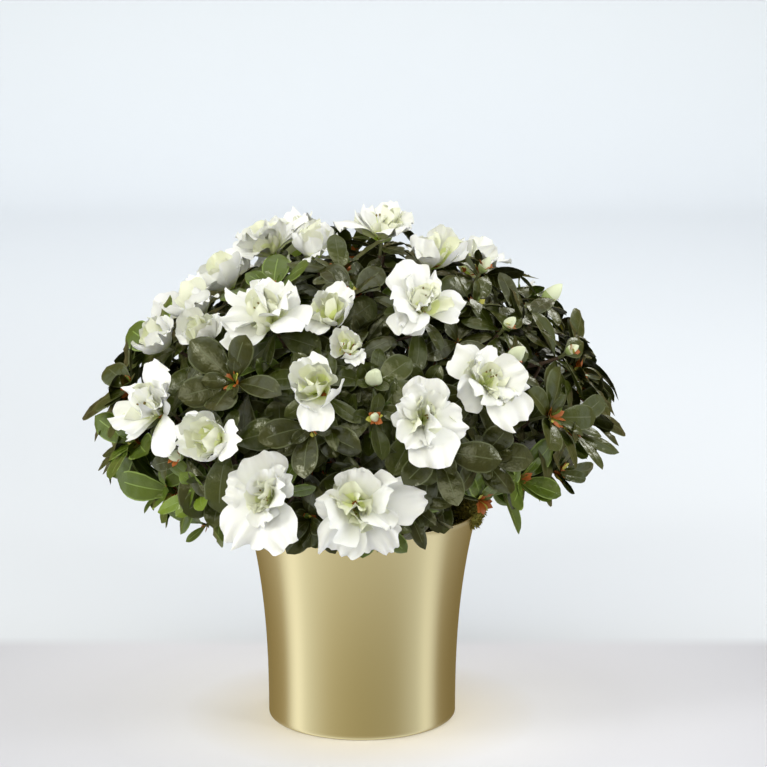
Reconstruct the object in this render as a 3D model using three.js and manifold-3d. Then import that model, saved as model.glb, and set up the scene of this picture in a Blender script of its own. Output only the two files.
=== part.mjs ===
// A potted azalea in bloom: a short forking trunk carries a wide dome of leathery leaves and double white
// flowers above a flared metal pot. Units are millimetres, +Z is up, -Y is the front, and the origin is the
// centre of the pot's flat underside. An azimuth is in degrees round from the front, towards +X on the
// right, and a rise is in degrees above the horizontal.
import * as THREE from "three";
import { mergeVertices } from "three/addons/utils/BufferGeometryUtils.js";
import Module from "manifold-3d";

const wasm = await Module();
wasm.setup();
const { Manifold, Mesh } = wasm;
const { degToRad, radToDeg } = THREE.MathUtils;
const UP = new THREE.Vector3(0, 0, 1);

// Pot
const POT_HEIGHT = 152;
const RIM_RADIUS = 82.5;
const FOOT_RADIUS = 67;
const FLARE_POWER = 2.5; // how late the wall swings out towards the rim
const WALL = 2;
const FOOT_ROUND = 2.5;
const POT_SIDES = 36;

// Root ball and moss
const CLEARANCE = 0.3; // between solids that touch on the plant
const SOIL_TOP = 141;
const SOIL_SIDES = 24;
const MOSS_SIDES = 20;
const MOSS_INNER = 17.5;
const MOSS_RISE = 8;
const CLUMP = new THREE.Vector3(79, -8, 155); // middle of the moss that spills over the rim
const CLUMP_RADIUS = 9;

// Trunk and boughs
const TRUNK_BASE_RADIUS = 8;
const TRUNK_TIP_RADIUS = 3;
const ROOT_FLARE = 0.6; // share that the foot is wider than the trunk
const FLARE_LOBES = 5;
const BOUGH_BASE_RADIUS = 3.5;
const BOUGH_TIP_RADIUS = 2.6;
const HEART = new THREE.Vector3(0, 0, 178); // the point that the boughs spread from
const LIMB_LENGTH = 58; // from the heart to each bough's tip

// Crown outline, an ellipse-like dome over a shallower skirt
const CROWN_CENTRE = new THREE.Vector3(-8, 0, 237);
const CROWN_RADIUS = 190;
const CROWN_RISE = 124;
const CROWN_DROP = 145;
const SHOULDER_POWER = 1.65; // 2 is an ellipse, and less is a slacker shoulder
const SKIRT_POWER = 2;
const LOWEST_TIP = 179; // on the Y axis
const SKIRT_TILT = 0.08; // of that level, up to the right
// The hem that leaves stay above: its lowest height, how far out that is, how much it climbs per millimetre
// from there towards the pot and outwards, and its tilt up to the right
const HEM = { height: 145, out: 142, inwards: 0.36, outwards: 0.9, tilt: 0.04 };
// The left shoulder slopes more: the middle and width of its slack in degrees, and the share of reach lost
const SLACK = { azimuth: -100, rise: 32, width: 32, share: 0.16 };

// Twigs
const STEM_LENGTH = 22;
const STEM_RADIUS = 2.4;
const BRANCHLETS = 3; // that leave each stem
const BRANCHLET_SHARE = 0.5; // how far along from the stem to its tips a branchlet ends
const BRANCHLET_RADIUS = 1.9;
const TWIG_RADIUS = 1.3;

// Leaves
const LEAF_WIDTH = 0.52; // of a leaf's length
const LEAF_SHOULDER = 0.6; // where along its length a leaf is widest
const LEAF_ROOT = 2.6; // thickness where it leaves the twig
const PROBE_THICKNESS = 0.5;
const STEEPEST_LEAF = 36; // least lean from its shoot
const SECTOR_MARGIN = 13; // degrees that a leaf's shoulders stay inside its sector of the whorl
// Shares of its length and folds towards its shoot that a leaf tries until it fits
const LEAF_FITS = [
  { share: 1, fold: 0 },
  { share: 0.9, fold: 12 },
  { share: 0.8, fold: 24 },
  { share: 0.65, fold: 36 },
];
const WEB_RADIUS = 3.4; // of the twig's swelling between leaves
const WHORL_LEAVES = 5; // round the tip of a leaf shoot
const COLLAR_LEAVES = 3; // lower down a shoot
const COLLAR_LEAF = 39;
const COLLAR_DROP = 18; // from a shoot's neck down to its collar
const LATTICE_LEAF = 43;
const LATTICE_POINTS = 420;
const LATTICE_DEPTH = 26; // below the crown's surface, because the leaves carry on past the shoot's tip
const TIP_SPACING = 32;
const GOLDEN_ANGLE = 137.5;

// Flowers: the spread is how far the petals lean out. The others are shares of the petal's length: the reach
// is the radius of the room that a flower keeps, and the heart is that of its crumpled middle, which stands
// at the rise above the throat. A bud's size is its own length.
const FLOWER = {
  open: { spread: 74, reach: 1.04, heart: 0.34, rise: 0.36 },
  half: { spread: 40, reach: 0.95, heart: 0.22, rise: 0.5 },
  bud: { reach: 0.75 },
};
const PETALS = 5;

// Flowers and leading leaf shoots of the near side, each by its direction from the crown's centre, its share
// of the crown's reach, and the length of its longest petal, bud or leaf.
const NEAR_TIPS = [
  { kind: "open", azimuth: -88, rise: 61, share: 0.93, size: 31 },
  { kind: "half", azimuth: -50, rise: 73, share: 0.88, size: 27 },
  { kind: "half", azimuth: -70, rise: 43, share: 0.9, size: 26 },
  { kind: "half", azimuth: -63, rise: 31, share: 0.9, size: 28 },
  { kind: "half", azimuth: -46, rise: 23, share: 0.9, size: 24 },
  { kind: "open", azimuth: -26, rise: 31, share: 0.95, size: 36 },
  { kind: "half", azimuth: -61, rise: 19, share: 0.92, size: 25 },
  { kind: "half", azimuth: -6, rise: 34, share: 0.9, size: 24 },
  { kind: "half", azimuth: 0, rise: 23, share: 0.9, size: 18 },
  { kind: "half", azimuth: -6, rise: 12, share: 0.95, size: 28 },
  { kind: "bud", azimuth: 5, rise: 14, share: 0.94, size: 18 },
  { kind: "bud", azimuth: 6, rise: 6, share: 0.92, size: 10 },
  { kind: "open", azimuth: -47, rise: 4, share: 0.95, size: 33 },
  { kind: "half", azimuth: -29, rise: 0, share: 0.95, size: 27 },
  { kind: "bud", azimuth: -40, rise: -5, share: 0.94, size: 13 },
  { kind: "open", azimuth: -17, rise: -11, share: 0.97, size: 34 },
  { kind: "open", azimuth: 2, rise: -13, share: 0.97, size: 36 },
  { kind: "open", azimuth: 85, rise: 79, share: 0.95, size: 30 },
  { kind: "half", azimuth: 60, rise: 56, share: 0.93, size: 28 },
  { kind: "open", azimuth: 26, rise: 36, share: 0.95, size: 31 },
  { kind: "bud", azimuth: 79, rise: 44, share: 0.96, size: 12 },
  { kind: "bud", azimuth: 90, rise: 26, share: 1.0, size: 17 },
  { kind: "bud", azimuth: 53, rise: 25, share: 0.94, size: 12 },
  { kind: "bud", azimuth: 47, rise: 17, share: 0.94, size: 17 },
  { kind: "open", azimuth: 33, rise: 12, share: 0.96, size: 34 },
  { kind: "open", azimuth: 17, rise: 6, share: 0.96, size: 33 },
  { kind: "bud", azimuth: 69, rise: 14, share: 0.96, size: 10 },
  { kind: "leaf", azimuth: 20, rise: -2, share: 0.9, size: 46 },
  { kind: "leaf", azimuth: -8, rise: 3, share: 0.84, size: 44 },
  { kind: "leaf", azimuth: 2, rise: 44, share: 0.84, size: 36 },
  { kind: "leaf", azimuth: 53, rise: 1, share: 0.88, size: 42 },
  { kind: "leaf", azimuth: -67, rise: 5, share: 0.85, size: 40 },
];

// Rows of flowers that the far side carries
const FAR_ROWS = [
  { rise: -8, count: 4 },
  { rise: 14, count: 5 },
  { rise: 35, count: 4 },
  { rise: 58, count: 2 },
];
const FAR_ARC = { from: 112, to: 250 };
const FAR_FLOWERS = [
  { kind: "open", size: 33 },
  { kind: "half", size: 26 },
  { kind: "open", size: 31 },
  { kind: "bud", size: 15 },
];

// Foliage masses, in rings round the heart
const RINGS = [
  { label: "top", count: 1, first: -30, rise: 84 },
  { label: "upper", count: 5, first: -36, rise: 46 },
  { label: "lower", count: 7, first: 0, rise: 2 },
];
// Where a ring's boughs leave the trunk: the lowest fork's height above the soil, the height that the forks
// are spread over, and how far a bough climbs by its knee
const BOUGH_FORKS = { upper: { low: 32, spread: 13, climb: 14 }, lower: { low: 11, spread: 18, climb: 8 } };

// Numbers from 0 to 1 in an order fixed by the seed, so that the plant always grows the same
function seeded(seed) {
  const FACTOR = 1664525;
  const STEP = 1013904223;
  let state = seed >>> 0;
  return () => {
    state = (Math.imul(state, FACTOR) + STEP) >>> 0;
    return state / 2 ** 32;
  };
}

function directionOf(azimuth, rise) {
  const [a, e] = [degToRad(azimuth), degToRad(rise)];
  return new THREE.Vector3(Math.sin(a) * Math.cos(e), -Math.cos(a) * Math.cos(e), Math.sin(e));
}

// The two directions across an axis that make a right-handed set with it
function across(axis) {
  const side = UP.clone().cross(axis);
  if (side.length() < 0.1) side.set(1, 0, 0);
  side.normalize();
  return [side, axis.clone().cross(side)];
}

// A direction that leans away from an axis, at a turn round it, both in degrees
function leaning(axis, lean, turn) {
  const [side, up] = across(axis);
  const [tilt, angle] = [degToRad(lean), degToRad(turn)];
  return axis
    .clone()
    .multiplyScalar(Math.cos(tilt))
    .addScaledVector(side, Math.sin(tilt) * Math.cos(angle))
    .addScaledVector(up, Math.sin(tilt) * Math.sin(angle));
}

const stepped = (start, direction, length) => start.clone().addScaledVector(direction, length);
const evenly = (from, to, steps) => {
  return Array.from({ length: steps + 1 }, (_, i) => from + ((to - from) * i) / steps);
};

function solidOf(geometry) {
  const bare = geometry.clone();
  bare.deleteAttribute("normal");
  bare.deleteAttribute("uv");
  const merged = mergeVertices(bare, 1e-3);
  return new Manifold(
    new Mesh({
      numProp: 3,
      vertProperties: merged.attributes.position.array,
      triVerts: new Uint32Array(merged.index.array),
    }),
  );
}

function solidFrom(points, triangles) {
  return solidOf(new THREE.BufferGeometry().setFromPoints(points).setIndex(triangles.flat()));
}

// The largest closed surface of a solid, without its loose scraps and sealed hollows
function mainBody(solid) {
  return solid.decompose().reduce((best, body) => (body.volume() > best.volume() ? body : best));
}

function nodeFrom(name, solid, material) {
  const mesh = solid.getMesh();
  const geometry = new THREE.BufferGeometry();
  geometry.setAttribute("position", new THREE.BufferAttribute(mesh.vertProperties, 3));
  geometry.setIndex(new THREE.BufferAttribute(mesh.triVerts, 1));
  const node = new THREE.Mesh(geometry, material);
  node.name = name;
  return node;
}

// A closed solid turned about the Z axis from a profile of [radius, height]
function turned(profile, sides) {
  const points = profile.map(([radius, height]) => new THREE.Vector2(radius, height));
  return solidOf(new THREE.LatheGeometry(points, sides).rotateX(Math.PI / 2));
}

// A limb along a smooth curve, closed by a flat face at each end
function limb(points, radiusAt, sides, steps) {
  const curve = new THREE.CatmullRomCurve3(points);
  const frames = curve.computeFrenetFrames(steps);
  const shell = [];
  for (let i = 0; i <= steps; i++) {
    for (let k = 0; k < sides; k++) {
      const angle = (2 * Math.PI * k) / sides;
      const radius = radiusAt(i / steps, angle);
      const onSide = stepped(curve.getPointAt(i / steps), frames.normals[i], radius * Math.cos(angle));
      shell.push(onSide.addScaledVector(frames.binormals[i], radius * Math.sin(angle)));
    }
  }
  const corner = (i, k) => i * sides + (k % sides);
  const triangles = [];
  for (let k = 0; k < sides; k++) {
    for (let i = 0; i < steps; i++) {
      triangles.push([corner(i, k), corner(i, k + 1), corner(i + 1, k + 1)]);
      triangles.push([corner(i, k), corner(i + 1, k + 1), corner(i + 1, k)]);
    }
  }
  for (let k = 1; k < sides - 1; k++) {
    triangles.push([corner(0, 0), corner(0, k + 1), corner(0, k)]);
    triangles.push([corner(steps, 0), corner(steps, k), corner(steps, k + 1)]);
  }
  return solidFrom(shell, triangles);
}

const tapered = (from, to) => (share) => from + (to - from) * share;

// Pot
function potRadius(height) {
  return FOOT_RADIUS + (RIM_RADIUS - FOOT_RADIUS) * (height / POT_HEIGHT) ** FLARE_POWER;
}

function pot() {
  const foot = [
    [0, 0],
    [FOOT_RADIUS - FOOT_ROUND, 0],
    [FOOT_RADIUS - 0.3 * FOOT_ROUND, 0.3 * FOOT_ROUND],
  ];
  const outer = evenly(FOOT_ROUND, POT_HEIGHT, 6).map((z) => [potRadius(z), z]);
  const inner = evenly(POT_HEIGHT, WALL, 4).map((z) => [potRadius(z) - WALL, z]);
  return turned([...foot, ...outer, ...inner, [0, WALL]], POT_SIDES);
}

// Soil and moss
function soil() {
  const bottom = WALL + CLEARANCE;
  const shoulder = SOIL_TOP - 3;
  const side = evenly(bottom, shoulder, 4).map((z) => [potRadius(z) - WALL - 3 * CLEARANCE, z]);
  return turned([[0, bottom], ...side, [0.7 * RIM_RADIUS, SOIL_TOP], [0, SOIL_TOP]], SOIL_SIDES);
}

// A lumpy ring of moss on the soil
function mossRing(random) {
  const edge = potRadius(SOIL_TOP) - WALL - 3 * CLEARANCE;
  const bands = [
    { radius: MOSS_INNER, rise: 0 },
    { radius: edge, rise: 0 },
    { radius: edge, rise: 0.45 },
    { radius: 0.84 * edge, rise: 1 },
    { radius: 0.6 * edge, rise: 0.8 },
  ];
  const points = [];
  for (let k = 0; k < MOSS_SIDES; k++) {
    const outwards = directionOf((360 * k) / MOSS_SIDES, 0);
    for (const { radius, rise } of bands) {
      const height = rise * MOSS_RISE * (0.6 + 0.6 * random());
      points.push(outwards.clone().multiplyScalar(radius).setZ(SOIL_TOP + CLEARANCE + height));
    }
  }
  const corner = (k, j) => (k % MOSS_SIDES) * bands.length + (j % bands.length);
  const triangles = [];
  for (let k = 0; k < MOSS_SIDES; k++) {
    for (let j = 0; j < bands.length; j++) {
      triangles.push([corner(k, j), corner(k + 1, j), corner(k + 1, j + 1)]);
      triangles.push([corner(k, j), corner(k + 1, j + 1), corner(k, j + 1)]);
    }
  }
  return solidFrom(points, triangles);
}

// The rim's own room, which the moss that hangs over it is cut clear of
function rimRoom() {
  const gap = CLEARANCE + 0.2;
  const outer = evenly(SOIL_TOP - 20, POT_HEIGHT + gap, 3).map((z) => [potRadius(z) + gap, z]);
  const inner = evenly(POT_HEIGHT + gap, SOIL_TOP - 20, 3).map((z) => [potRadius(z) - WALL - gap, z]);
  return turned([...outer, ...inner, outer[0]], POT_SIDES);
}

function moss() {
  const random = seeded(11);
  const lumps = [-1, 0, 1].map((k) => {
    const radius = CLUMP_RADIUS * (0.7 + 0.3 * random());
    const ball = new THREE.IcosahedronGeometry(radius, 0);
    return solidOf(ball.translate(CLUMP.x - 3 * (k & 1), CLUMP.y + 7 * k, CLUMP.z - 4 - 2 * (k & 1)));
  });
  const clump = lumps.reduce((whole, lump) => whole.add(lump));
  const underside = turned([[0, 100], [120, 100], [120, SOIL_TOP + CLEARANCE], [0, SOIL_TOP + CLEARANCE]], 8);
  return mainBody(mossRing(random).add(clump.subtract(underside)).subtract(rimRoom()));
}

// Trunk and boughs
function trunk(topMass, extra = 0) {
  const points = [
    new THREE.Vector3(3, 2, SOIL_TOP - 6),
    new THREE.Vector3(3, 2, SOIL_TOP + 6),
    HEART.clone(),
    stepped(HEART, topMass.direction, 0.7 * LIMB_LENGTH),
    stepped(HEART, topMass.direction, LIMB_LENGTH - CLEARANCE + extra),
  ];
  const radiusAt = (share, angle) => {
    const flare = ROOT_FLARE * Math.exp(-12 * share) * (0.8 + 0.2 * Math.cos(FLARE_LOBES * angle));
    return tapered(TRUNK_BASE_RADIUS, TRUNK_TIP_RADIUS)(share) * (1 + flare) + extra;
  };
  const ground = turned([[0, 100], [40, 100], [40, SOIL_TOP + CLEARANCE], [0, SOIL_TOP + CLEARANCE]], 8);
  return limb(points, radiusAt, 10, 8).subtract(ground);
}

function bough(mass, trunkRoom) {
  const { low, spread, climb } = BOUGH_FORKS[mass.ring];
  const { count } = RINGS.find(({ label }) => label === mass.ring);
  const start = new THREE.Vector3(1.5, 1, SOIL_TOP + low + (spread * ((3 * mass.index) % count)) / count);
  const outwards = mass.direction.clone().setZ(0).normalize();
  const points = [
    start,
    stepped(start, outwards, 20).setZ(start.z + climb),
    stepped(HEART, mass.direction, 0.72 * LIMB_LENGTH),
    stepped(HEART, mass.direction, LIMB_LENGTH - CLEARANCE),
  ];
  const whole = limb(points, tapered(BOUGH_BASE_RADIUS, BOUGH_TIP_RADIUS), 6, 4);
  return mainBody(whole.subtract(trunkRoom));
}

// Crown
function crownPoint(azimuth, rise, share, depth = 0) {
  const direction = directionOf(azimuth, rise);
  const rising = direction.z >= 0;
  const power = rising ? SHOULDER_POWER : SKIRT_POWER;
  const level = Math.hypot(direction.x, direction.y) / CROWN_RADIUS;
  const upright = Math.abs(direction.z) / (rising ? CROWN_RISE : CROWN_DROP);
  const reach = (level ** power + upright ** power) ** (-1 / power);
  return stepped(CROWN_CENTRE, direction, reach * share - depth);
}

// How much of the crown's full reach its unlisted shoots have in a direction
function fullness(azimuth, rise) {
  const away = radToDeg(directionOf(azimuth, rise).angleTo(directionOf(SLACK.azimuth, SLACK.rise)));
  return 1 - SLACK.share * Math.exp(-((away / SLACK.width) ** 2));
}

function tipAt({ kind, azimuth, rise, share, depth, size }) {
  const place = crownPoint(azimuth, rise, share, depth);
  const room = kind === "leaf" ? 0 : FLOWER[kind].reach * size;
  return { kind, size, place, room, facing: place.clone().sub(HEART).normalize() };
}

function farTips() {
  const random = seeded(5);
  const pitchOf = (count) => (FAR_ARC.to - FAR_ARC.from) / count;
  return FAR_ROWS.flatMap(({ rise, count }, row) =>
    Array.from({ length: count }, (_, k) => {
      const azimuth = FAR_ARC.from + pitchOf(count) * (k + 0.5 + 0.3 * (random() - 0.5));
      const flower = FAR_FLOWERS[(k + row) % FAR_FLOWERS.length];
      const ownRise = rise + 6 * (random() - 0.5);
      return tipAt({ ...flower, azimuth, rise: ownRise, share: 0.94 * fullness(azimuth, ownRise) });
    }),
  );
}

// Leaf shoots on an even spiral lattice over the dome, wherever no flower has the room already
function latticeTips(taken) {
  const random = seeded(23);
  const tips = [];
  for (let k = 0; k < LATTICE_POINTS; k++) {
    const rise = radToDeg(Math.asin(1 - (1.62 * (k + 0.5)) / LATTICE_POINTS));
    const depth = LATTICE_DEPTH + 6 * (random() - 0.5);
    const size = LATTICE_LEAF * (0.9 + 0.2 * random());
    const azimuth = (GOLDEN_ANGLE * k) % 360;
    const tip = tipAt({ kind: "leaf", azimuth, rise, share: fullness(azimuth, rise), depth, size });
    const { x, y, z } = tip.place;
    const overPot = Math.hypot(x, y) < RIM_RADIUS + 14 && z < POT_HEIGHT + 32;
    const crowded = [...taken, ...tips].some(
      (other) => other.place.distanceTo(tip.place) < TIP_SPACING + 0.3 * other.room,
    );
    if (!overPot && !crowded && z > LOWEST_TIP + SKIRT_TILT * x) tips.push(tip);
  }
  return tips;
}

// Masses: a tip belongs to the mass whose direction from the heart is nearest to its own
function massList() {
  return RINGS.flatMap(({ label, count, first, rise }) =>
    Array.from({ length: count }, (_, index) => ({
      name: count === 1 ? label : `${label}_${index + 1}`,
      ring: label,
      index,
      direction: directionOf(first + (360 * index) / count, rise),
      tips: [],
    })),
  );
}

function shareOut(tips, masses) {
  for (const tip of tips) {
    const nearness = (mass) => tip.facing.dot(mass.direction);
    tip.mass = masses.reduce((best, mass) => (nearness(mass) > nearness(best) ? mass : best));
    tip.mass.tips.push(tip);
  }
}

// How far a point lies inside its mass's cone from the heart, past the walls shared with the other masses
function insideCone(point, mass, masses) {
  const arm = point.clone().sub(HEART);
  const others = masses.filter((other) => other !== mass);
  return Math.min(...others.map((other) => arm.dot(mass.direction.clone().sub(other.direction).normalize())));
}

// Draws a tip in from the walls of its mass's cone, so that its twig has room
function settle(tip, masses) {
  const MARGIN = 4;
  for (let k = 0; k < 6; k++) {
    const short = MARGIN - insideCone(tip.place, tip.mass, masses);
    if (short <= 0) break;
    const inwards = tip.mass.direction.clone().projectOnPlane(tip.facing).normalize();
    tip.place.addScaledVector(inwards, short + 1);
    tip.facing = tip.place.clone().sub(HEART).normalize();
  }
}

function aboveHem({ x, y, z }) {
  const past = Math.hypot(x, y) - HEM.out;
  return z > HEM.height + HEM.tilt * x + (past > 0 ? HEM.outwards : -HEM.inwards) * past;
}

function clearOfPot(point) {
  const low = point.z < POT_HEIGHT + MOSS_RISE;
  return !(low && Math.hypot(point.x, point.y) < RIM_RADIUS + 2) && point.distanceTo(CLUMP) > 24;
}

// The room that a mass's leaves keep to: nearer to its own tips than to any other mass's, and out of the room
// that other flowers keep
function leafRoom(mass, tips) {
  const foreign = tips.filter((tip) => tip.mass !== mass);
  return (point) => {
    const nearest = (list) => Math.min(...list.map((tip) => tip.place.distanceTo(point)));
    return (
      clearOfPot(point) &&
      aboveHem(point) &&
      nearest(foreign) - nearest(mass.tips) > 2 * CLEARANCE &&
      foreign.every((tip) => tip.place.distanceTo(point) > tip.room + CLEARANCE)
    );
  };
}

// The room that a flower keeps to, up to half way to the next flower
function flowerRoom(tip, tips) {
  const rivals = tips.filter((other) => other !== tip && other.room > 0);
  return (point) => {
    const own = point.distanceTo(tip.place);
    return clearOfPot(point) && rivals.every((other) => point.distanceTo(other.place) > own + 2 * CLEARANCE);
  };
}

function withMiddles(points) {
  return points.flatMap((point, i) => [point, point.clone().lerp(points[(i + 1) % points.length], 0.5)]);
}

// Triangles between two rings of a skin: each step goes on to whichever ring's next point comes first
function between(lower, upper) {
  const turnAt = (ring, k) => ring.points[k % ring.points.length].turn + 360 * (k >= ring.points.length);
  const corner = (ring, k) => ring.start + (k % ring.points.length);
  const [lowerCount, upperCount] = [lower.points.length, upper.points.length];
  const triangles = [];
  let [i, j] = [0, 0];
  while (i < lowerCount || j < upperCount) {
    const climb = i === lowerCount || (j < upperCount && turnAt(upper, j + 1) < turnAt(lower, i + 1));
    if (climb) triangles.push([corner(lower, i), corner(upper, j + 1), corner(upper, j)]);
    else triangles.push([corner(lower, i), corner(lower, i + 1), corner(upper, j)]);
    if (climb) j += 1;
    else i += 1;
  }
  return triangles;
}

// One closed skin over rings of { turn, point }, from a start of three points to a single end point
function skin(lists, end) {
  let start = 0;
  const rings = lists.map((points) => {
    const ring = { start, points };
    start += points.length;
    return ring;
  });
  const last = rings.at(-1);
  const triangles = [[0, 2, 1]];
  rings.slice(1).forEach((ring, i) => triangles.push(...between(rings[i], ring)));
  last.points.forEach((_, k) => {
    triangles.push([last.start + k, last.start + ((k + 1) % last.points.length), start]);
  });
  const points = rings.flatMap((ring) => ring.points.map(({ point }) => point));
  return solidFrom([...points, end], triangles);
}

// A ring of a few points round a twig
function twigRing(centre, tangent, facing, first, radius, count = 3) {
  const side = leaning(facing, 90, first).projectOnPlane(tangent).normalize();
  const up = tangent.clone().cross(side);
  return evenly(0, 360 - 360 / count, count - 1).map((angle) => {
    const outwards = side.clone().multiplyScalar(Math.cos(degToRad(angle)));
    outwards.addScaledVector(up, Math.sin(degToRad(angle)));
    return { turn: first + angle, point: stepped(centre, outwards, radius) };
  });
}

// A leaf's edge as its near shoulder, tip and far shoulder. It keeps to its own sector of the whorl, and it
// folds closer to its shoot and shortens until it fits. One that never fits isn't grown.
function leafEdge({ root, facing, turn, pitch, length, lean, fits }) {
  const widest = Math.tan(degToRad(pitch / 2 - SECTOR_MARGIN));
  for (const { share, fold } of LEAF_FITS) {
    const along = leaning(facing, Math.max(STEEPEST_LEAF, lean - fold), turn);
    const side = facing.clone().cross(along).normalize();
    const middle = stepped(root, along, LEAF_SHOULDER * length * share);
    const fromAxis = middle.clone().sub(root).projectOnPlane(facing).length();
    const half = Math.min((LEAF_WIDTH * length * share) / 2, widest * fromAxis);
    const shoulder = stepped(middle, UP, -0.03 * length);
    const tip = stepped(root, along, length * share).addScaledVector(facing, -0.08 * length);
    tip.addScaledVector(UP, -0.12 * length);
    const edge = [stepped(shoulder, side, -half), tip, stepped(shoulder, side, half)];
    if (fits(stepped(root, along, 0.25 * length * share), edge)) return edge;
  }
  return null;
}

// A rim of leaves round a shoot, with a small web between each two
function leafRim({ root, facing, first, count, length, lean, fits, random }) {
  const pitch = 360 / count;
  return Array.from({ length: count }, (_, k) => k).flatMap((k) => {
    const between = first + pitch * k;
    const web = { turn: between, point: stepped(root, leaning(facing, 90, between), WEB_RADIUS) };
    const turn = between + pitch / 2;
    const size = length * (0.88 + 0.24 * random());
    const tilt = lean + 30 * random();
    const edge = leafEdge({ root, facing, turn, pitch, length: size, lean: tilt, fits });
    if (!edge) return [web];
    return [web, ...edge.map((point, side) => ({ turn: turn + 25 * (side - 1), point }))];
  });
}

// Rings of a double flower from its throat: ruffled petals, drawn in wherever a neighbour is too close, round
// a crumpled heart
function corollaRings({ place, facing, size, kind, first }, fits, random) {
  const { spread, heart, rise } = FLOWER[kind];
  const throat = stepped(place, facing, -0.25 * size);
  let closest = 1;
  const edgeAt = (turn, length) => {
    const along = leaning(facing, spread, turn);
    const lift = 0.16 * (random() - 0.5);
    const share = [1, 0.85, 0.7, 0.55].find((part) => fits(stepped(throat, along, length * part))) ?? 0.4;
    closest = Math.min(closest, share);
    return { turn, point: stepped(throat, along, length * share).addScaledVector(facing, lift * size) };
  };
  const pitch = 360 / PETALS;
  const rim = [];
  const crumples = [];
  for (let k = 0; k < PETALS; k++) {
    const middle = first + pitch * (k + 0.5);
    rim.push(edgeAt(first + pitch * k, 0.66 * size));
    rim.push(edgeAt(middle - 0.28 * pitch, size), edgeAt(middle + 0.28 * pitch, size));
    crumples.push({ turn: middle, height: (rise + 0.12 * random()) * size });
  }
  const ruffle = crumples.map(({ turn, height }) => {
    const outwards = stepped(throat, leaning(facing, 90, turn), heart * closest * size);
    return { turn, point: outwards.addScaledVector(facing, height) };
  });
  return { rings: [rim, ruffle], end: stepped(throat, facing, (rise + 0.14) * size) };
}

function budRings({ place, facing, size, first }) {
  const ringAt = (height, radius) =>
    evenly(first, first + 288, 4).map((turn) => {
      const centre = stepped(place, facing, height * size);
      return { turn, point: stepped(centre, leaning(facing, 90, turn), radius * size) };
    });
  const end = stepped(place, facing, 0.5 * size);
  return { rings: [ringAt(-0.25, 0.24), ringAt(0.05, 0.3)], end };
}

// The bare part of a shoot: its route from the branchlet to a straight neck behind what it carries
function shootRoute(tip, branchlet) {
  const { place, facing, kind, size } = tip;
  const behind = { leaf: 0, bud: 0.4 * size, half: 0.35 * size, open: 0.35 * size }[kind];
  const neck = stepped(place, facing, -behind);
  const collar = stepped(neck, facing, kind === "leaf" ? -COLLAR_DROP : -0.6 * COLLAR_DROP);
  const bend = branchlet.clone().lerp(collar, 0.55).addScaledVector(UP, -0.06 * branchlet.distanceTo(collar));
  return { start: branchlet, bend, collar, neck };
}

// What ends a shoot: the rings and end point of a bud, of a flower, or of a leafy shoot's tip
function headOf(tip, tips, random) {
  if (tip.kind === "leaf") return { rings: [], end: stepped(tip.place, tip.facing, 0.5 * LEAF_ROOT) };
  if (tip.kind === "bud") return budRings(tip);
  return corollaRings(tip, flowerRoom(tip, tips), random);
}

// A shoot with its leaves and flower as one skin
function shoot(tip, leavesFit, random) {
  const { facing, kind, size, first, head } = tip;
  const { start, bend, collar, neck } = tip.route;
  const ringAt = (centre, tangent, radius) => twigRing(centre, tangent.normalize(), facing, first, radius);
  const rimAt = (root, count, length, lean) =>
    leafRim({ root, facing, first, count, length, lean, fits: leavesFit, random });
  const along = (centre, step, count) =>
    twigRing(stepped(centre, facing, step * LEAF_ROOT), facing, facing, first, TWIG_RADIUS, count);
  const rings = [
    ringAt(start, bend.clone().sub(start), 0.9 * TWIG_RADIUS),
    ringAt(bend, collar.clone().sub(start), TWIG_RADIUS),
    along(collar, -0.5),
    rimAt(collar, COLLAR_LEAVES, COLLAR_LEAF, 68),
    along(collar, 0.5),
    along(neck, -0.5, kind === "leaf" ? WHORL_LEAVES : 3),
  ];
  if (kind === "leaf") rings.push(rimAt(neck, WHORL_LEAVES, size, 46));
  return skin([...rings, ...head.rings], head.end);
}

// A mass's tips in groups by their place round its stem
function tipGroups(mass) {
  const [side, up] = across(mass.direction);
  const groups = Array.from({ length: BRANCHLETS }, () => []);
  for (const tip of mass.tips) {
    const arm = tip.place.clone().sub(HEART);
    const round = Math.atan2(arm.dot(up), arm.dot(side)) / (2 * Math.PI) + 0.5;
    groups[Math.min(BRANCHLETS - 1, Math.floor(round * BRANCHLETS))].push(tip);
  }
  return groups.filter((group) => group.length);
}

// The stem of a mass and the branchlets that fork from it, each towards a group of tips. The shoots of a
// group leave its branchlet one after another.
function branchlets(mass) {
  const stemStart = stepped(HEART, mass.direction, LIMB_LENGTH);
  const stemEnd = stepped(stemStart, mass.direction, STEM_LENGTH);
  const pieces = [limb([stemStart, stemEnd], tapered(BOUGH_TIP_RADIUS, STEM_RADIUS), 5, 1)];
  for (const [order, group] of tipGroups(mass).entries()) {
    const centre = new THREE.Vector3();
    group.forEach((tip) => centre.addScaledVector(tip.place, 1 / group.length));
    const fork = stepped(stemEnd, mass.direction, -2.5 - 6 * order);
    const end = stemEnd.clone().lerp(centre, BRANCHLET_SHARE);
    pieces.push(limb([fork, end], () => BRANCHLET_RADIUS, 4, 1));
    group.sort((a, b) => a.place.distanceTo(fork) - b.place.distanceTo(fork));
    group.forEach((tip, k) => {
      const share = 0.97 - (0.5 * (group.length - 1 - k)) / group.length;
      tip.route = shootRoute(tip, fork.clone().lerp(end, share));
    });
  }
  return pieces;
}

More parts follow.
